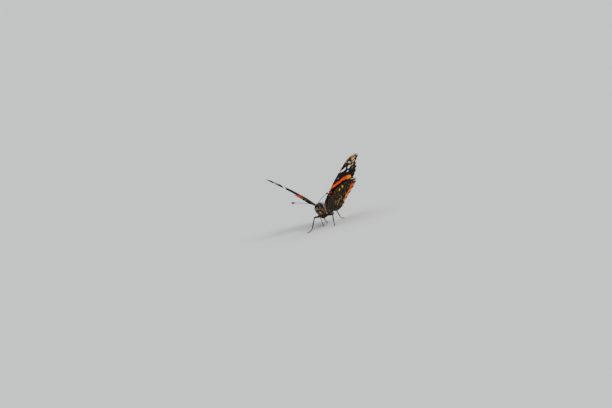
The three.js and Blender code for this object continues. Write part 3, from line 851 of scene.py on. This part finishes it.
def forewing_under(r, t, plane):
    """As the upper side, but paler: an orange band that ends in yellow, a short red bar and two blue
    streaks in the cell, a cream costal end to the white bar, a tip marbled in black and gold with a white
    rim, and cream and olive patches before the margin."""
    x, y = ragged(plane, 21)
    smoke = noise(0.9 * x, 1.6 * y, 22)
    tip = rise(x, 21.5, 5.0) * ease((6.8 - y) / 2.5)
    gold = 0.8 * rise(marbling(0.95 * x, 0.95 * y, 23), 0.58, 0.05)
    orange = blend(BAND_RED, BAND_ORANGE, ease(noise(0.8 * x, 0.8 * y, 24) * 1.3))
    patches = fall(np.abs(r - 0.91), 0, 0.065) * ease(mid_cell(FOREWING, t) * 1.8 - 0.4)
    patches = ease((patches + 0.3 * noise(4 * x, 4 * y, 26) - 0.5) / 0.15)
    edge = rise(r, 0.965, 0.012)
    return painted(
        VELVET_BLACK,
        (SOOT_BROWN, 0.8 * smoke),
        (MARBLE_GREY, 0.5 * fall(r, 0, 0.25) * smoke),
        (blend(VELVET_BLACK, GOLDEN_BROWN, gold), 0.95 * tip),
        (PALE_BLUE, 0.5 * spot(x, y, (4.6, 1.2), (0.3, 0.9), 0.25)),
        (BAND_RED, spot(x, y, (6.5, 1.3), (0.34, 1.75), 0.12)),
        (blend(orange, BAND_YELLOW, 0.9 * rise(y, 8.0, 3.5)), stripe(x, y, BAND)),
        (PALE_BLUE, 0.55 * stripe(x, y, BLUE_STREAK)),
        (blend(CREAM_SCALES, WHITE_SCALES, rise(y, -1.6, 1.4)), stripe(x, y, WHITE_BAR)),
        *[(WHITE_SCALES, spot(x, y, centre, radii)) for centre, radii in WHITE_SPOTS],
        *[(CREAM_SCALES, 0.9 * spot(x, y, centre, radii)) for centre, radii in CREAM_SPOTS],
        (PINK_CREAM, 0.8 * spot(x, y, (25.0, 3.3), (0.5, 0.9), 0.2)),
        (GOLDEN_BROWN * 1.3, 0.85 * spot(x, y, (28.3, 1.7), (0.45, 1.1), -0.15, 0.3)),
        (
            blend(CREAM_SCALES, OLIVE_TAN * 0.8, rise(t, 0.42, 0.12)),
            0.9 * patches * rise(t, 0.14, 0.08) * ease((0.66 - t) / 0.1),
        ),
        (VELVET_BLACK, 0.8 * edge),
        (WHITE_SCALES, 0.9 * edge * fall(t, 0.1, 0.06)),
    )


def hindwing_upper(r, t, plane):
    """Dark brown, with an orange-red border that holds a black dot in each cell, a blue mark at the
    inner corner, and a thin black edge."""
    x, y = ragged(plane, 31)
    bronze = fall(r, 0, 0.5) * (0.3 + 0.6 * noise(3 * x, 1.3 * y, 32))
    wobble = r + 0.012 * (noise(1.5 * x, 1.5 * y, 33) - 0.5)
    border = rise(wobble, 0.8, 0.012) * fall(wobble, 0.965, 0.01)
    border = border * rise(t, 0.17, 0.05) * fall(t, 0.86, 0.02)
    dot = bell((wobble - 0.885) / 0.028) * mid_cell(HINDWING, t) ** 3
    corner = rise(wobble, 0.88, 0.01) * fall(wobble, 0.95, 0.01)
    corner = corner * rise(t, 0.87, 0.015) * fall(t, 0.97, 0.015)
    return painted(
        SOOT_BROWN,
        (VELVET_BLACK, rise(r, 0.2, 0.5)),
        (BASE_BROWN, bronze),
        (blend(BAND_RED, BAND_ORANGE, 0.5 * noise(x, y, 34)), border),
        (VELVET_BLACK, rise(dot, 0.35, 0.15)),
        (BLUE_SCALES, 0.85 * corner),
    )


def hindwing_under(r, t, plane):
    """Marbled like bark in brown, tan and grey with dark lines, a row of hidden eye-spots, two yellow marks
    behind the costa, and along the border painted light: the upper side's orange border as it shows through
    the wing."""
    x, y = ragged(plane, 41)
    bark = marbling(0.55 * x, 0.55 * y, 42)
    fine = marbling(1.6 * x, 1.6 * y, 45)
    waves = [r - radius - 0.07 * (noise(9 * t, 2 * r, 47) - 0.5) for radius in (0.3, 0.52, 0.63)]
    middle = mid_cell(HINDWING, t)
    ring = np.hypot((r - 0.73) / 0.055, (1 - middle) * 1.1)
    wobble = r + 0.03 * (noise(0.9 * x, 0.9 * y, 49) - 0.5)
    # Painted light: the upper side's orange border shining through the wing, painted onto the under side
    light_through_border = rise(wobble, 0.83, 0.02) * fall(wobble, 0.945, 0.015)
    light_through_border = light_through_border * rise(t, 0.33, 0.05) * fall(t, 0.74, 0.06)
    orange = blend(BAND_RED, BAND_ORANGE, ease(noise(1.1 * x, 1.1 * y, 48) * 1.4))
    orange = blend(orange, SHOW_THROUGH_ORANGE, 0.7 * rise(t, 0.45, 0.15))
    edge = rise(r, 0.94, 0.02)
    return painted(
        MARBLE_DARK,
        (SOOT_BROWN, rise(fine, 0.35, 0.3)),
        (MARBLE_TAN, 0.8 * rise(bark, 0.52, 0.06) * rise(fine, 0.5, 0.08)),
        (OLIVE_TAN * 1.25, 0.95 * rise(fine, 0.6, 0.03) * rise(bark, 0.4, 0.1)),
        (MARBLE_GREY * 1.2, 0.7 * fall(r, 0, 0.55) * rise(fine, 0.56, 0.03)),
        (MARBLE_DARK, 0.75 * rise(r, 0.42, 0.1) * fall(t, 0.45, 0.15)),
        *[(MARBLE_DARK, 0.85 * bell(wave / 0.009)) for wave in waves],
        (VELVET_BLACK, 0.7 * fall(ring, 0.75, 0.2)),
        (OLIVE_TAN, 0.4 * ease(1.6 * fine - 0.4) * bell((ring - 0.85) / 0.12)),
        (MARBLE_GREY, 0.3 * fall(ring, 0, 0.3)),
        # Painted light: the orange border seen through the wing, stronger where the fine marbling is paler
        (orange, 0.85 * light_through_border * (0.35 + 0.65 * rise(fine, 0.3, 0.2))),
        (MAROON, 0.8 * spot(x, y, (19.2, 7.6), (1.2, 2.2), 0.2, 0.8)),
        (MARBLE_DARK, 0.8 * edge),
        (CREAM_SCALES, 0.75 * edge * rise(middle, 0.55, 0.2) * fall(r, 0.975, 0.01)),
        *[(SPOT_YELLOW, 0.95 * spot(x, y, centre, (0.5, 1.4), 0.1, 0.25)) for centre in YELLOW_SPOTS],
    )


def build_wing(name, wing, side, upper, under):
    """A closed sheet: the upper face across to the inner edge and the under face back, with the root and
    the margin closed. It is thicker along the leading edge and the veins, and thins out at the margin."""
    r, t, plane, lift = wing_sheet(wing, side)
    rows, columns = r.shape
    veins = vein_relief(wing, r, t, plane)
    from_costa = t * np.linalg.norm(plane[:, -1:] - plane[:, :1], axis=-1)
    half = MEMBRANE_HALF + VEIN_HEIGHT * veins + COSTA_HALF * (1 - 0.75 * r) * bell(from_costa / 0.35)
    half = half * (1 - 0.6 * rise(r, 0.97, 0.03))
    top = wing_to_floor(wing, side, plane, lift + half)
    bottom = wing_to_floor(wing, side, plane, lift - half)
    darker = 1 - 0.35 * rise(veins, 0, 0.5)[..., None]
    tints = upper(r, t, plane) * darker, under(r, t, plane) * darker
    points = np.concatenate([top, bottom[:, ::-1]], 1)
    colours = np.concatenate([tints[0], tints[1][:, ::-1]], 1)
    around = 2 * columns
    j = np.arange(columns - 1)
    rim = np.stack([j, j + 1, around - 2 - j, around - 1 - j], 1)
    faces = np.concatenate([grid_quads(rows, around, True), rim[:, ::-1], rim + (rows - 1) * around])
    make_piece(name, (points, [faces], None, colours), wing_scales, [name])


def build_fringe(name, wing, side, white):
    """Short flat scales along the outer margin, white between the veins and dark where a vein ends."""
    rng = np.random.default_rng(COAT_SEED + len(name) + side)
    t = np.sort(rng.random(FRINGE_SCALES))

    def at(r, above):
        row = np.full(FRINGE_SCALES, r)
        plane = wing_plane(wing, row, t)
        return wing_to_floor(wing, side, plane, wing_lift(wing, side, row, t, plane) + above)

    out = unit(at(1.0, 0) - at(0.985, 0) + rng.normal(0, 0.03, (FRINGE_SCALES, 3)))
    margin = at(1.0, 0) - FRINGE_OVERLAP * out
    upwards = unit(at(1.0, 1) - margin)
    pale = rise(mid_cell(wing, t), 0.35, 0.2)
    colours = blend(SOOT_BROWN, white, pale) * rng.uniform(0.85, 1.1, (FRINGE_SCALES, 1))
    lengths = FRINGE_LENGTH * rng.uniform(0.7, 1.05, FRINGE_SCALES) * (0.75 + 0.35 * pale)
    lie = 0.12 * upwards * rng.normal(0, 1, (FRINGE_SCALES, 1))
    uv = np.stack([np.full(FRINGE_SCALES, 0.99), t], 1)
    scales = hairs(margin, out, lie, lengths, FRINGE_WIDTH, uv, colours)
    make_piece(f"{name}_fringe", scales, hair_scales)


def build_wing_hair(name, wing, side, face):
    """Long fine hair over the root of a wing, lying outwards, and on the hindwing along its inner edge too.
    The face is 1 for the upper side and −1 for the under side."""
    r, t, plane, lift = wing_sheet(wing, side)
    grid = wing_to_floor(wing, side, plane, lift + face * MEMBRANE_HALF)
    origin = np.zeros(2)
    normal = unit(wing_to_floor(wing, side, origin, face) - wing_to_floor(wing, side, origin, 0))
    rng = np.random.default_rng(COAT_SEED + 40 + 2 * side + face)
    density = bell(r / 0.3)
    if wing is HINDWING:
        density = density + 0.8 * rise(t, 0.8, 0.2) * fall(r, 0.75, 0.2)
    count = wing["hairs"]
    place, _, along, shares = scatter(grid, count, density, rng, False)
    directions = unit(along + 0.22 * normal + rng.normal(0, 0.09, place.shape))
    tone = rng.random((count, 1))
    colours = HAIR_BROWN * (0.2 + 0.4 * tone) + OLIVE_TAN * 0.12 * tone**3
    lengths = rng.uniform(*WING_HAIR_LENGTHS, count) * (1 - 0.4 * shares[:, 0])
    coat = hairs(place, directions, -0.14 * normal, lengths, WING_HAIR_WIDTH, shares, colours)
    label = "upper" if face > 0 else "under"
    make_piece(f"{name}_hair_{label}", coat, hair_scales)


# Body skin: head, neck, thorax, waist and abdomen in one surface

# Stations along the body: y, half width, half height and height of the axis
BODY_STATIONS = [
    (-7.3, 0.25, 0.3, -3.35),
    (-7.05, 0.68, 0.85, -3.3),
    (-6.55, 0.98, 1.35, -3.15),
    (-5.95, 1.08, 1.55, -3.05),
    (-5.3, 1.0, 1.35, -2.97),
    (-4.75, 0.9, 1.1, -2.9),
    (-4.3, 1.5, 1.75, -2.8),
    (-3.5, 2.1, 2.4, -2.7),
    (-2.2, 2.5, 2.95, -2.65),
    (-0.5, 2.68, 3.2, -2.65),
    (1.2, 2.65, 3.15, -2.65),
    (2.7, 2.4, 2.85, -2.6),
    (3.8, 2.0, 2.3, -2.5),
    (4.7, 1.72, 1.85, -2.4),
    (6.0, 1.75, 1.8, -2.32),
    (8.2, 1.8, 1.78, -2.25),
    (10.6, 1.7, 1.68, -2.15),
    (12.8, 1.42, 1.42, -2.0),
    (14.6, 1.05, 1.05, -1.88),
    (16.0, 0.6, 0.62, -1.79),
    (16.75, 0.22, 0.24, -1.74),
]


def skin_grid():
    """Ellipses along the body's axis: x = w sin a, z = axis + h cos a, with a from the top. Rings step out
    to each abdomen segment's rear edge, the shoulders swell where the wings leave the thorax, and the
    breast narrows and deepens below, where the legs begin. Returns the grid, and its points' y and a."""
    stations = curve_through(BODY_STATIONS)(np.linspace(0, 1, SKIN_ROWS))
    y, width, height, axis = (stations[:, i : i + 1] for i in range(4))
    y, angle = np.broadcast_arrays(y, np.linspace(0, 2 * np.pi, SKIN_SIDES, endpoint=False)[None])
    phase = np.mod((y - ABDOMEN_START) / SEGMENT_LENGTH, 1.0)
    step = (phase - 0.5) * rise(y, ABDOMEN_START, 0.8) * (1 - 0.5 * rise(phase, 0.93, 0.07))
    step = 1 + SEGMENT_STEP * step
    from_side = np.minimum(np.abs(angle - 0.95), np.abs(angle - (2 * np.pi - 0.95)))
    shoulder = SHOULDER_SWELL * np.exp(-(((y - 0.3) / 2.0) ** 2) - (from_side / 0.35) ** 2)
    under = ease(-np.cos(angle))
    flank = 1 - 0.06 * under * rise(y, ABDOMEN_START, 1.5)
    pinch = 1 - BREAST_PINCH * under * bell((y + 0.6) / 3.0)
    keel = KEEL_DEPTH * under * bell((y - 0.7) / 2.3)
    x = (width * step + shoulder) * np.sin(angle) * flank * pinch
    z = axis + (height * step * flank + shoulder) * np.cos(angle) - keel
    return np.stack([x, y, z], -1), y, angle


def body_colour(y, angle, x, z):
    """Markings of the body, shared by skin and coat: a dark back with lilac hair on the shoulders,
    brightened on top as a painted highlight, dark sides crossed by a cream stripe that runs down behind the
    head, a fawn line before the stripe, a rusty breast, and an abdomen that is dark above and pinkish grey
    below, with a pale line at each segment's rear edge."""
    below = ease(0.5 - 0.75 * np.cos(angle))
    mottle = noise(2.3 * y + 9, 2.3 * z + 9, 51)
    sides = rise(np.abs(x), 0.7, 0.5)
    track = y - np.interp(-z, STRIPE_DEPTH, STRIPE_PLACE) + 0.25 * (mottle - 0.5)
    dark = np.maximum(bell((track + 0.85) / 0.45), bell((track - 1.3) / 0.9))
    # The top of the body, where the shoulder hair gets its painted highlight
    top = rise(np.cos(angle), 0.45, 0.25)
    phase = np.mod((y - ABDOMEN_START) / SEGMENT_LENGTH, 1.0)
    thorax = painted(
        HAIR_DARK,
        (HAIR_BROWN, 0.8 * ease(0.9 * below + 0.8 * mottle - 0.5)),
        (HAIR_RUST, rise(below, 0.86, 0.14) * (0.35 + 0.6 * mottle)),
        (VELVET_BLACK, 0.9 * dark * sides),
        (HAIR_CREAM * 1.15, 0.95 * bell(track / 0.34) * sides),
        (HAIR_FAWN * 1.2, 0.7 * bell((track + 1.75) / 0.3) * sides),
        # Lilac hair on the shoulders, brightened and kept to the top: partly the hair's own lilac, partly a
        # painted highlight
        (LILAC_HAIR_AND_HIGHLIGHT * 1.7, 0.9 * bell((y + 2.2) / 1.2) * top * ease(mottle * 3 - 0.9)),
    )
    head = painted(
        HAIR_DARK,
        (HAIR_BROWN, 0.7 * ease(0.8 * below - 0.1 + 0.5 * mottle)),
        (HAIR_CREAM * 0.9, 0.6 * rise(below, 0.65, 0.3) * rise(np.abs(x), 0.35, 0.3)),
    )
    abdomen = painted(
        ABDOMEN_DARK,
        (ABDOMEN_PINK, 0.9 * rise(below, 0.35, 0.35)),
        (HAIR_FAWN, 0.8 * rise(phase, 0.82, 0.08) * (0.25 + 0.6 * below)),
    )
    return painted(head, (thorax, rise(y, -4.9, 0.5)), (abdomen, rise(y, 4.1, 0.9)))


def build_body():
    """The skin, and its coat in three pieces: head, thorax and abdomen."""
    grid, y, angle = skin_grid()
    colours = body_colour(y, angle, grid[..., 0], grid[..., 2])
    points, faces = capped(grid, grid[0].mean(0) - (0, BODY_CAP, 0), grid[-1].mean(0) + (0, BODY_CAP, 0))
    # Painted shade: the skin under the coat is darkened to seven tenths of the coat's colour, all but its
    # two end points
    skin = to_floor(points), faces, None, with_ends(colours * 0.7, colours[0, 0], colours[-1, 0])
    make_piece("body_skin", skin, skin_scales, ["head", "thorax", "abdomen"])
    rng = np.random.default_rng(COAT_SEED)
    build_body_coat("head_coat", grid, ease((-4.9 - y) / 0.3), rng, **HEAD_COAT)
    build_body_coat("thorax_coat", grid, rise(y, -5.0, 0.4) * ease((4.3 - y) / 0.6), rng, **THORAX_COAT)
    build_body_coat("abdomen_coat", grid, rise(y, 3.8, 0.6), rng, **ABDOMEN_COAT)


def build_body_coat(name, grid, density, rng, count, lengths, width, stand):
    """Hair that lies backwards along the body, in gentle swirls, and stands up more below. On the face it
    points outwards."""
    place, normal, along, shares = scatter(grid, count, density, rng, True)
    x, y, z = place.T
    a = shares[:, 1] * 2 * np.pi
    tilt = stand * (1 + 0.35 * np.maximum(-np.cos(a), 0))[:, None]
    swirl = noise(1.7 * y + 20, 3 * a, 61)[:, None] - 0.5
    directions = along + tilt * normal + 0.9 * swirl * np.cross(normal, along)
    directions = directions + rng.normal(0, 0.12, place.shape)
    if name == "head_coat":
        face = ease((-6.4 - y) / 0.8)[:, None]
        directions = directions * (1 - face)
        directions = directions + face * (1.2 * normal + rng.normal(0, 0.15, place.shape))
    colour = body_colour(y, a, x, z) * rng.uniform(0.7, 1.35, (count, 1))
    lengths = rng.uniform(*lengths, count)
    widths = width * rng.uniform(0.8, 1.2, count)
    lie = along * 0.25 - 0.18 * normal
    points, *rest = hairs(place, unit(directions), lie, lengths, widths, shares, colour)
    make_piece(name, (to_floor(points), *rest), hair_scales)


# Head pieces


def build_eye(name, side):
    """An ellipsoid, x = a cos p sin q, y = b sin p sin q, z = c cos q, leaning in a little at the top. Its
    pigment is dark above and brown below."""
    rings, sides, pole_gap = 40, 64, 0.04
    q = np.linspace(pole_gap, np.pi - pole_gap, rings)[:, None]
    p = np.linspace(0, 2 * np.pi, sides, endpoint=False)[None]
    a, b, c = EYE_HALF
    z = c * np.cos(q) + 0 * p
    shell = np.stack([a * np.cos(p) * np.sin(q) - EYE_LEAN * z, b * np.sin(p) * np.sin(q), z], -1)
    points, faces = capped(shell, (-EYE_LEAN * c, 0, c), (EYE_LEAN * c, 0, -c))
    points = mirrored(points + EYE_CENTRE, side)
    colours = blend(EYE_BELOW, EYE_TOP, ease(0.55 + 0.7 * (points[:, 2] - EYE_CENTRE[2]) / c))
    make_piece(name, (to_floor(points), faces, None, colours), eye_lens, [name])


def build_eye_rim(name, side):
    """A collar of short pale scales round the back of the eye, standing on its edge."""
    rng = np.random.default_rng(COAT_SEED + 5 + side)
    count = EYE_RIM_SCALES
    angle = rng.uniform(0, 2 * np.pi, count)
    a, b, c = EYE_HALF
    ring = np.stack([np.full(count, -0.35 * a), 0.97 * b * np.sin(angle), 0.97 * c * np.cos(angle)], -1)
    out = unit(np.stack([np.full(count, 0.1), np.sin(angle), np.cos(angle)], -1))
    directions = unit(out + np.array([0.7, 0.3, 0.0]) + rng.normal(0, 0.12, (count, 3)))
    colours = blend(HAIR_BROWN, HAIR_CREAM, ease(0.9 * np.sin(angle) + 0.3))
    colours = colours * rng.uniform(0.7, 1.15, (count, 1))
    uv = np.stack([0.08 + 0.02 * np.cos(angle), 0.25 + 0.08 * np.sin(angle)], 1)
    lengths = rng.uniform(*EYE_RIM_LENGTHS, count)
    points, *rest = hairs(ring + EYE_CENTRE, directions, -0.2 * out, lengths, EYE_RIM_WIDTH, uv, colours)
    make_piece(name, (to_floor(mirrored(points, side)), *rest), hair_scales)


def furred_limb(name, side, slot, paint, path, radii, reference, count, lengths, stand):
    """A tube along a smooth path with its own coat of short hair lying towards the tip, in one piece."""
    rng = np.random.default_rng(COAT_SEED + sum(ord(letter) for letter in name))
    steps, sides = 60, 16
    even = np.linspace(0, 1, steps)
    line = curve_through(mirrored(path, side))(even)
    thickness = np.interp(even, np.linspace(0, 1, len(radii)), radii)
    points, faces, rings, level = tube(line, thickness, sides, reference)
    share, turn = np.broadcast_arrays(even[:, None], np.linspace(0, 1, sides, endpoint=False)[None])
    colour = paint(share, level)
    uv = with_ends(np.clip(np.stack([share, turn], -1), 0.01, 0.99), (0.01, 0.5), (0.99, 0.5))
    # Painted shade: the skin under the coat is darkened to seven tenths of the coat's colour, all but its
    # two end points
    skin = points, faces, uv, with_ends(colour * 0.7, colour[0, 0], colour[-1, 0])
    place, _, along, shares = scatter(rings, count, np.ones((steps, sides)), rng, True)
    outward = unit(place - nearest(line, shares[:, 0]))
    directions = unit(along + stand * outward + rng.normal(0, 0.12, place.shape))
    tone = paint(shares[:, 0], outward[:, 2]) * rng.uniform(0.7, 1.3, (count, 1))
    lengths = rng.uniform(*lengths, count)
    lie = 0.15 * along - 0.1 * outward
    coat = hairs(place, directions, lie, lengths, LIMB_HAIR_WIDTH, shares, tone, 0.04)
    points, *rest = joined([skin, coat])
    make_piece(name, (to_floor(points), *rest), hair_scales, [name])


def palp_paint(share, level):
    """Dark above, fawn at the sides and cream below, with a dark tip."""
    return painted(
        HAIR_CREAM * 0.75,
        (HAIR_FAWN * 0.8, rise(level, -0.85, 0.5)),
        (HAIR_DARK, rise(level, -0.15, 0.4)),
        (HAIR_DARK, rise(share, 0.7, 0.2)),
    )


def foreleg_paint(share, level):
    """Cream, a little browner at the root."""
    return blend(HAIR_BROWN * 1.2, HAIR_CREAM * 0.8, ease(1.5 * share + 0.1 * level))


def build_antenna(name, side):
    """A ringed shaft that swells to a club and closes on a rounded cream tip. The radius is pinched by an
    eighth at each ring, and white scales ring the shaft between pinches, mostly below."""
    share = np.linspace(0, 1, ANTENNA_SEGMENTS * 6)
    line = curve_through(mirrored(ANTENNA_PATH, side))(share)
    club = rise(share, 0.8, 0.11)
    tip = np.sqrt(np.clip(1 - ((share - 0.93) / 0.07).clip(0) ** 2, 0.02, 1))
    phase = np.mod(share * ANTENNA_SEGMENTS, 1.0)
    radius = (SHAFT_RADIUS + CLUB_SWELL * club) * tip * (1 - 0.13 * bell((phase - 0.5) / 0.16))
    points, faces, _, level = tube(line, radius, 14, (0.3 * side, 0, 1))
    shaft = 1 - club[:, None]
    white = rise(np.abs(phase - 0.5), 0.36, 0.05)[:, None] * ease(0.55 - level * 0.8) * shaft
    colour = painted(
        HORN_BLACK * 0.7,
        (SHAFT_BROWN, 0.5 * ease(-level) * shaft),
        (WHITE_SCALES * 0.75, 0.8 * white),
        (CREAM_SCALES, rise(share, 0.965, 0.01)[:, None]),
    )
    make_piece(name, (to_floor(points), faces, None, with_ends(colour)), feeler_scales, [name])


def build_proboscis():
    """Two sucking tubes side by side, seen as one with a groove, ringed finely and tapering to the tip."""
    lower = np.array(PROBOSCIS_ON_FLOOR) - (0, ROOT_AHEAD, 0)
    share = np.linspace(0, 1, 260)
    line = curve_through(np.vstack([to_floor(PROBOSCIS_IN_BODY), lower]))(share)
    ringed = 1 + 0.05 * np.sin(2 * np.pi * share * PROBOSCIS_RINGS)
    radius = (PROBOSCIS_RADIUS - PROBOSCIS_TAPER * share) * ringed
    points, faces, rings, _ = tube(line, radius, 16, (1, 0, 0))
    spokes = rings - line[:, None]
    across = spokes[..., 0:1] / radius[:, None, None]
    grooved = line[:, None] + spokes * (1 - 0.3 * bell(across / 0.25))
    grooved = grooved + across * radius[:, None, None] * np.array([0.35, 0, 0])
    points[: grooved.size // 3] = grooved.reshape(-1, 3)
    make_piece("proboscis", (points, faces, None, None), horn, ["proboscis"])


# Walking legs


def leg_path(joints):
    """Points evenly along hip, knee, ankle, ball and toe, with each corner rounded by a running mean, the
    share of the way at each of them, and a vector square to the plane of femur and tibia."""
    knee, ankle, toe = np.array(joints[1:]) - (0, ROOT_AHEAD, 0)
    hip = to_floor(joints[0])
    ball = ankle + (toe - ankle) * 0.5
    ball[2] = TARSUS_HALF
    corners = np.array([hip, knee, ankle, ball, toe])
    reach = np.r_[0, np.cumsum(np.linalg.norm(np.diff(corners, axis=0), axis=1))]
    even = np.linspace(0, reach[-1], 200)
    line = np.stack([np.interp(even, reach, axis) for axis in corners.T], 1)
    padded = np.pad(line, ((4, 4), (0, 0)), mode="edge")
    rounded = np.stack([np.convolve(axis, np.ones(9) / 9, mode="valid") for axis in padded.T], 1)
    rounded[0], rounded[-1] = line[0], line[-1]
    return rounded, reach / reach[-1], np.cross(knee - hip, ankle - knee)


def build_leg(name, joints):
    """A tapering tube, with a stout black femur, a slim brown tibia and five tarsal segments, and then its
    hair, spines and claws. The radius follows the listed values, pinched by three tenths at each joint."""
    line, (_, knee, ankle, _, _), reference = leg_path(joints)
    share = np.linspace(0, 1, len(line))
    radius = np.interp(share, np.linspace(0, ankle, len(LEG_RADII)), LEG_RADII)
    tarsal = np.clip((share - ankle) / (1 - ankle), 0, 1)
    radius = np.where(share > ankle, TARSUS_HALF - 0.03 * tarsal, radius)
    joints_at = [knee, ankle, *(ankle + (1 - ankle) * np.array([0.42, 0.6, 0.74, 0.86]))]
    for at in joints_at:
        radius = radius * (1 - 0.3 * bell((share - at) / 0.006))
    points, faces, rings, level = tube(line, radius, 14, reference)
    points[: level.size, 2] = np.maximum(points[: level.size, 2], SOLE)
    brown = ease((share - knee + 0.03) / 0.05)[:, None]
    colour = painted(
        HORN_BLACK,
        (HAIR_DARK, 0.6),
        (LEG_BROWN, brown),
        (LEG_TAN, 0.6 * brown * ease(-level)),
        *[(HORN_BLACK, 0.7 * bell((share - at) / 0.008)[:, None]) for at in joints_at[1:]],
    )
    nodes = [f"{name}_{part}" for part in ("femur", "tibia", "tarsus")]
    make_piece(name, (points, faces, None, with_ends(colour)), leg_scales, nodes)
    seed = COAT_SEED + len(name) + int(10 * abs(joints[-1][0]))
    parts = [leg_hair(line, rings, knee, seed), leg_spines(line, knee, reference)]
    make_piece(f"{name}_coat", joined(parts), hair_scales)
    build_claws(f"{name}_claws", line[-1], unit(line[-1] - line[-6]), unit(reference))


def leg_hair(line, rings, knee, seed):
    """Short hair lying towards the toe, longer and three times as dense on the femur."""
    rng = np.random.default_rng(seed)
    share = np.linspace(0, 1, len(line))[:, None]
    density = np.where(share < knee, 1.0, 0.35) + np.zeros(rings.shape[:2])
    place, _, along, shares = scatter(rings, LEG_HAIRS, density, rng, True)
    outward = unit(place - nearest(line, shares[:, 0]))
    on_femur = shares[:, 0] < knee
    directions = unit(along + 0.45 * outward + rng.normal(0, 0.1, place.shape))
    lengths = np.where(on_femur, FEMUR_HAIR, SHIN_HAIR) * rng.uniform(0.7, 1.3, LEG_HAIRS)
    tone = np.where(on_femur[:, None], HAIR_DARK * 1.5, LEG_TAN) * rng.uniform(0.7, 1.3, (LEG_HAIRS, 1))
    return hairs(place, directions, 0.2 * along, lengths, LEG_HAIR_WIDTH, shares, tone, 0.03)


def leg_spines(line, knee, reference):
    """Two rows of black spines along tibia and tarsus, leaning towards the toe."""
    spines_at = np.tile(np.linspace(knee + 0.04, 0.96, SPINES_IN_ROW), 2)
    onward = unit(nearest(np.gradient(line, axis=0), spines_at))
    sideways = np.repeat([0.5, -0.5], SPINES_IN_ROW)[:, None] * unit(reference)
    directions = unit(onward * 0.9 + unit(np.cross(onward, reference)) * 0.55 + sideways)
    uv = np.stack([spines_at, np.full(len(spines_at), 0.5)], 1)
    roots = nearest(line, spines_at)
    return hairs(roots, directions, np.zeros(3), SPINE_LENGTH, SPINE_WIDTH, uv, HORN_BLACK, 0.0, SOLE)


def build_claws(name, toe, forward, reference):
    """Two hooks, each a quarter of an ellipse that leaves the toe forwards and ends pointing down."""
    sideways = unit(reference * [1, 1, 0])
    sideways = unit(sideways - forward * np.dot(sideways, forward))
    angle = np.linspace(0, 0.5 * np.pi, len(CLAW_RADII))[:, None]
    drop = (0.04 - 0.15 * (1 - np.cos(angle))) * [0, 0, 1]
    hooks = []
    for sign in (1, -1):
        way = unit(forward * [1, 1, 0] + 0.45 * sign * sideways)
        path = toe - forward * 0.05 + CLAW_LENGTH * np.sin(angle) * way + drop
        hooks.append((*tube(path, CLAW_RADII, 8, (0.1, 0.1, 1))[:2], None, None))
    make_piece(name, joined(hooks), horn)


# Making the butterfly

for label, side in (("left", 1), ("right", -1)):
    fore, hind = f"forewing_{label}", f"hindwing_{label}"
    build_wing(fore, FOREWING, side, forewing_upper, forewing_under)
    build_wing(hind, HINDWING, side, hindwing_upper, hindwing_under)
    build_fringe(fore, FOREWING, side, WHITE_SCALES * 0.85)
    build_fringe(hind, HINDWING, side, WHITE_SCALES * 0.9)
    build_wing_hair(fore, FOREWING, side, 1)
    build_wing_hair(hind, HINDWING, side, 1)
    build_wing_hair(hind, HINDWING, side, -1)
    build_eye(f"eye_{label}", side)
    build_eye_rim(f"eye_rim_{label}", side)
    build_antenna(f"antenna_{label}", side)
    furred_limb(f"palp_{label}", side, "coat", palp_paint, **PALP)
    furred_limb(f"foreleg_{label}", side, "leg", foreleg_paint, **FORELEG)
build_body()
build_proboscis()
for leg, leg_joints in LEGS.items():
    build_leg(leg, leg_joints)


# Floor, light and camera


def build_floor():
    """A wide pale sheet of painted board."""
    mesh = bpy.data.meshes.new("floor")
    corners = [(x * FLOOR_HALF, y * FLOOR_HALF, 0) for x, y in ((-1, -1), (1, -1), (1, 1), (-1, 1))]
    mesh.from_pydata(corners, [], [(0, 1, 2, 3)])
    mesh.materials.append(pale_board)
    placed("floor", mesh)


def add_light(name, towards, width, strength, colour):
    """A broad distant light, as wide in the sky as its angle, so that the floor is lit evenly."""
    light = bpy.data.lights.new(name, "SUN")
    light.angle = math.radians(width)
    light.energy = strength
    light.color = colour
    placed(name, light).rotation_euler = Vector(towards).to_track_quat("Z", "Y").to_euler()


def camera_axes():
    """Right, up and towards-the-camera unit vectors, from azimuth, elevation and roll."""
    a, e = CAMERA_AZIMUTH, CAMERA_ELEVATION
    towards = Vector((math.sin(a) * math.cos(e), -math.cos(a) * math.cos(e), math.sin(e)))
    level = Vector((math.cos(a), math.sin(a), 0))
    upright = towards.cross(level)
    right = level * math.cos(CAMERA_ROLL) - upright * math.sin(CAMERA_ROLL)
    return right, towards.cross(right), towards


def add_camera():
    """The photograph's view: the wing roots fall on their pixel, at the photograph's scale."""
    right, up, towards = camera_axes()
    roots = Vector((0, -ROOT_AHEAD, ROOT_HEIGHT))
    off_x, off_y = ((pixel - size / 2) / PHOTO_SCALE for pixel, size in zip(ROOT_PIXEL, PHOTO_SIZE))
    aim = roots - right * off_x + up * off_y
    data = bpy.data.cameras.new("camera")
    data.sensor_fit = "HORIZONTAL"
    data.sensor_width = SENSOR
    data.lens = SENSOR * CAMERA_DISTANCE * PHOTO_SCALE / PHOTO_SIZE[0]
    data.clip_start = 0.01
    data.clip_end = 200
    camera = placed("camera", data)
    turn = Matrix((right, up, towards)).transposed().to_4x4()
    camera.matrix_world = Matrix.Translation((aim + towards * CAMERA_DISTANCE) * MM) @ turn
    bpy.context.scene.camera = camera


def add_world():
    """An even pale sky for fill light."""
    world = bpy.data.worlds.new("studio")
    world.use_nodes = True
    sky = world.node_tree.nodes["Background"].inputs
    sky["Color"].default_value = (0.86, 0.9, 0.95, 1)
    sky["Strength"].default_value = 0.6
    bpy.context.scene.world = world


build_floor()
add_light("key", (0.75, -0.75, 0.8), 35, 2.9, (1.0, 0.97, 0.93))
add_light("back", (-0.4, 0.8, 0.9), 50, 0.9, (0.95, 0.97, 1.0))
add_camera()
add_world()
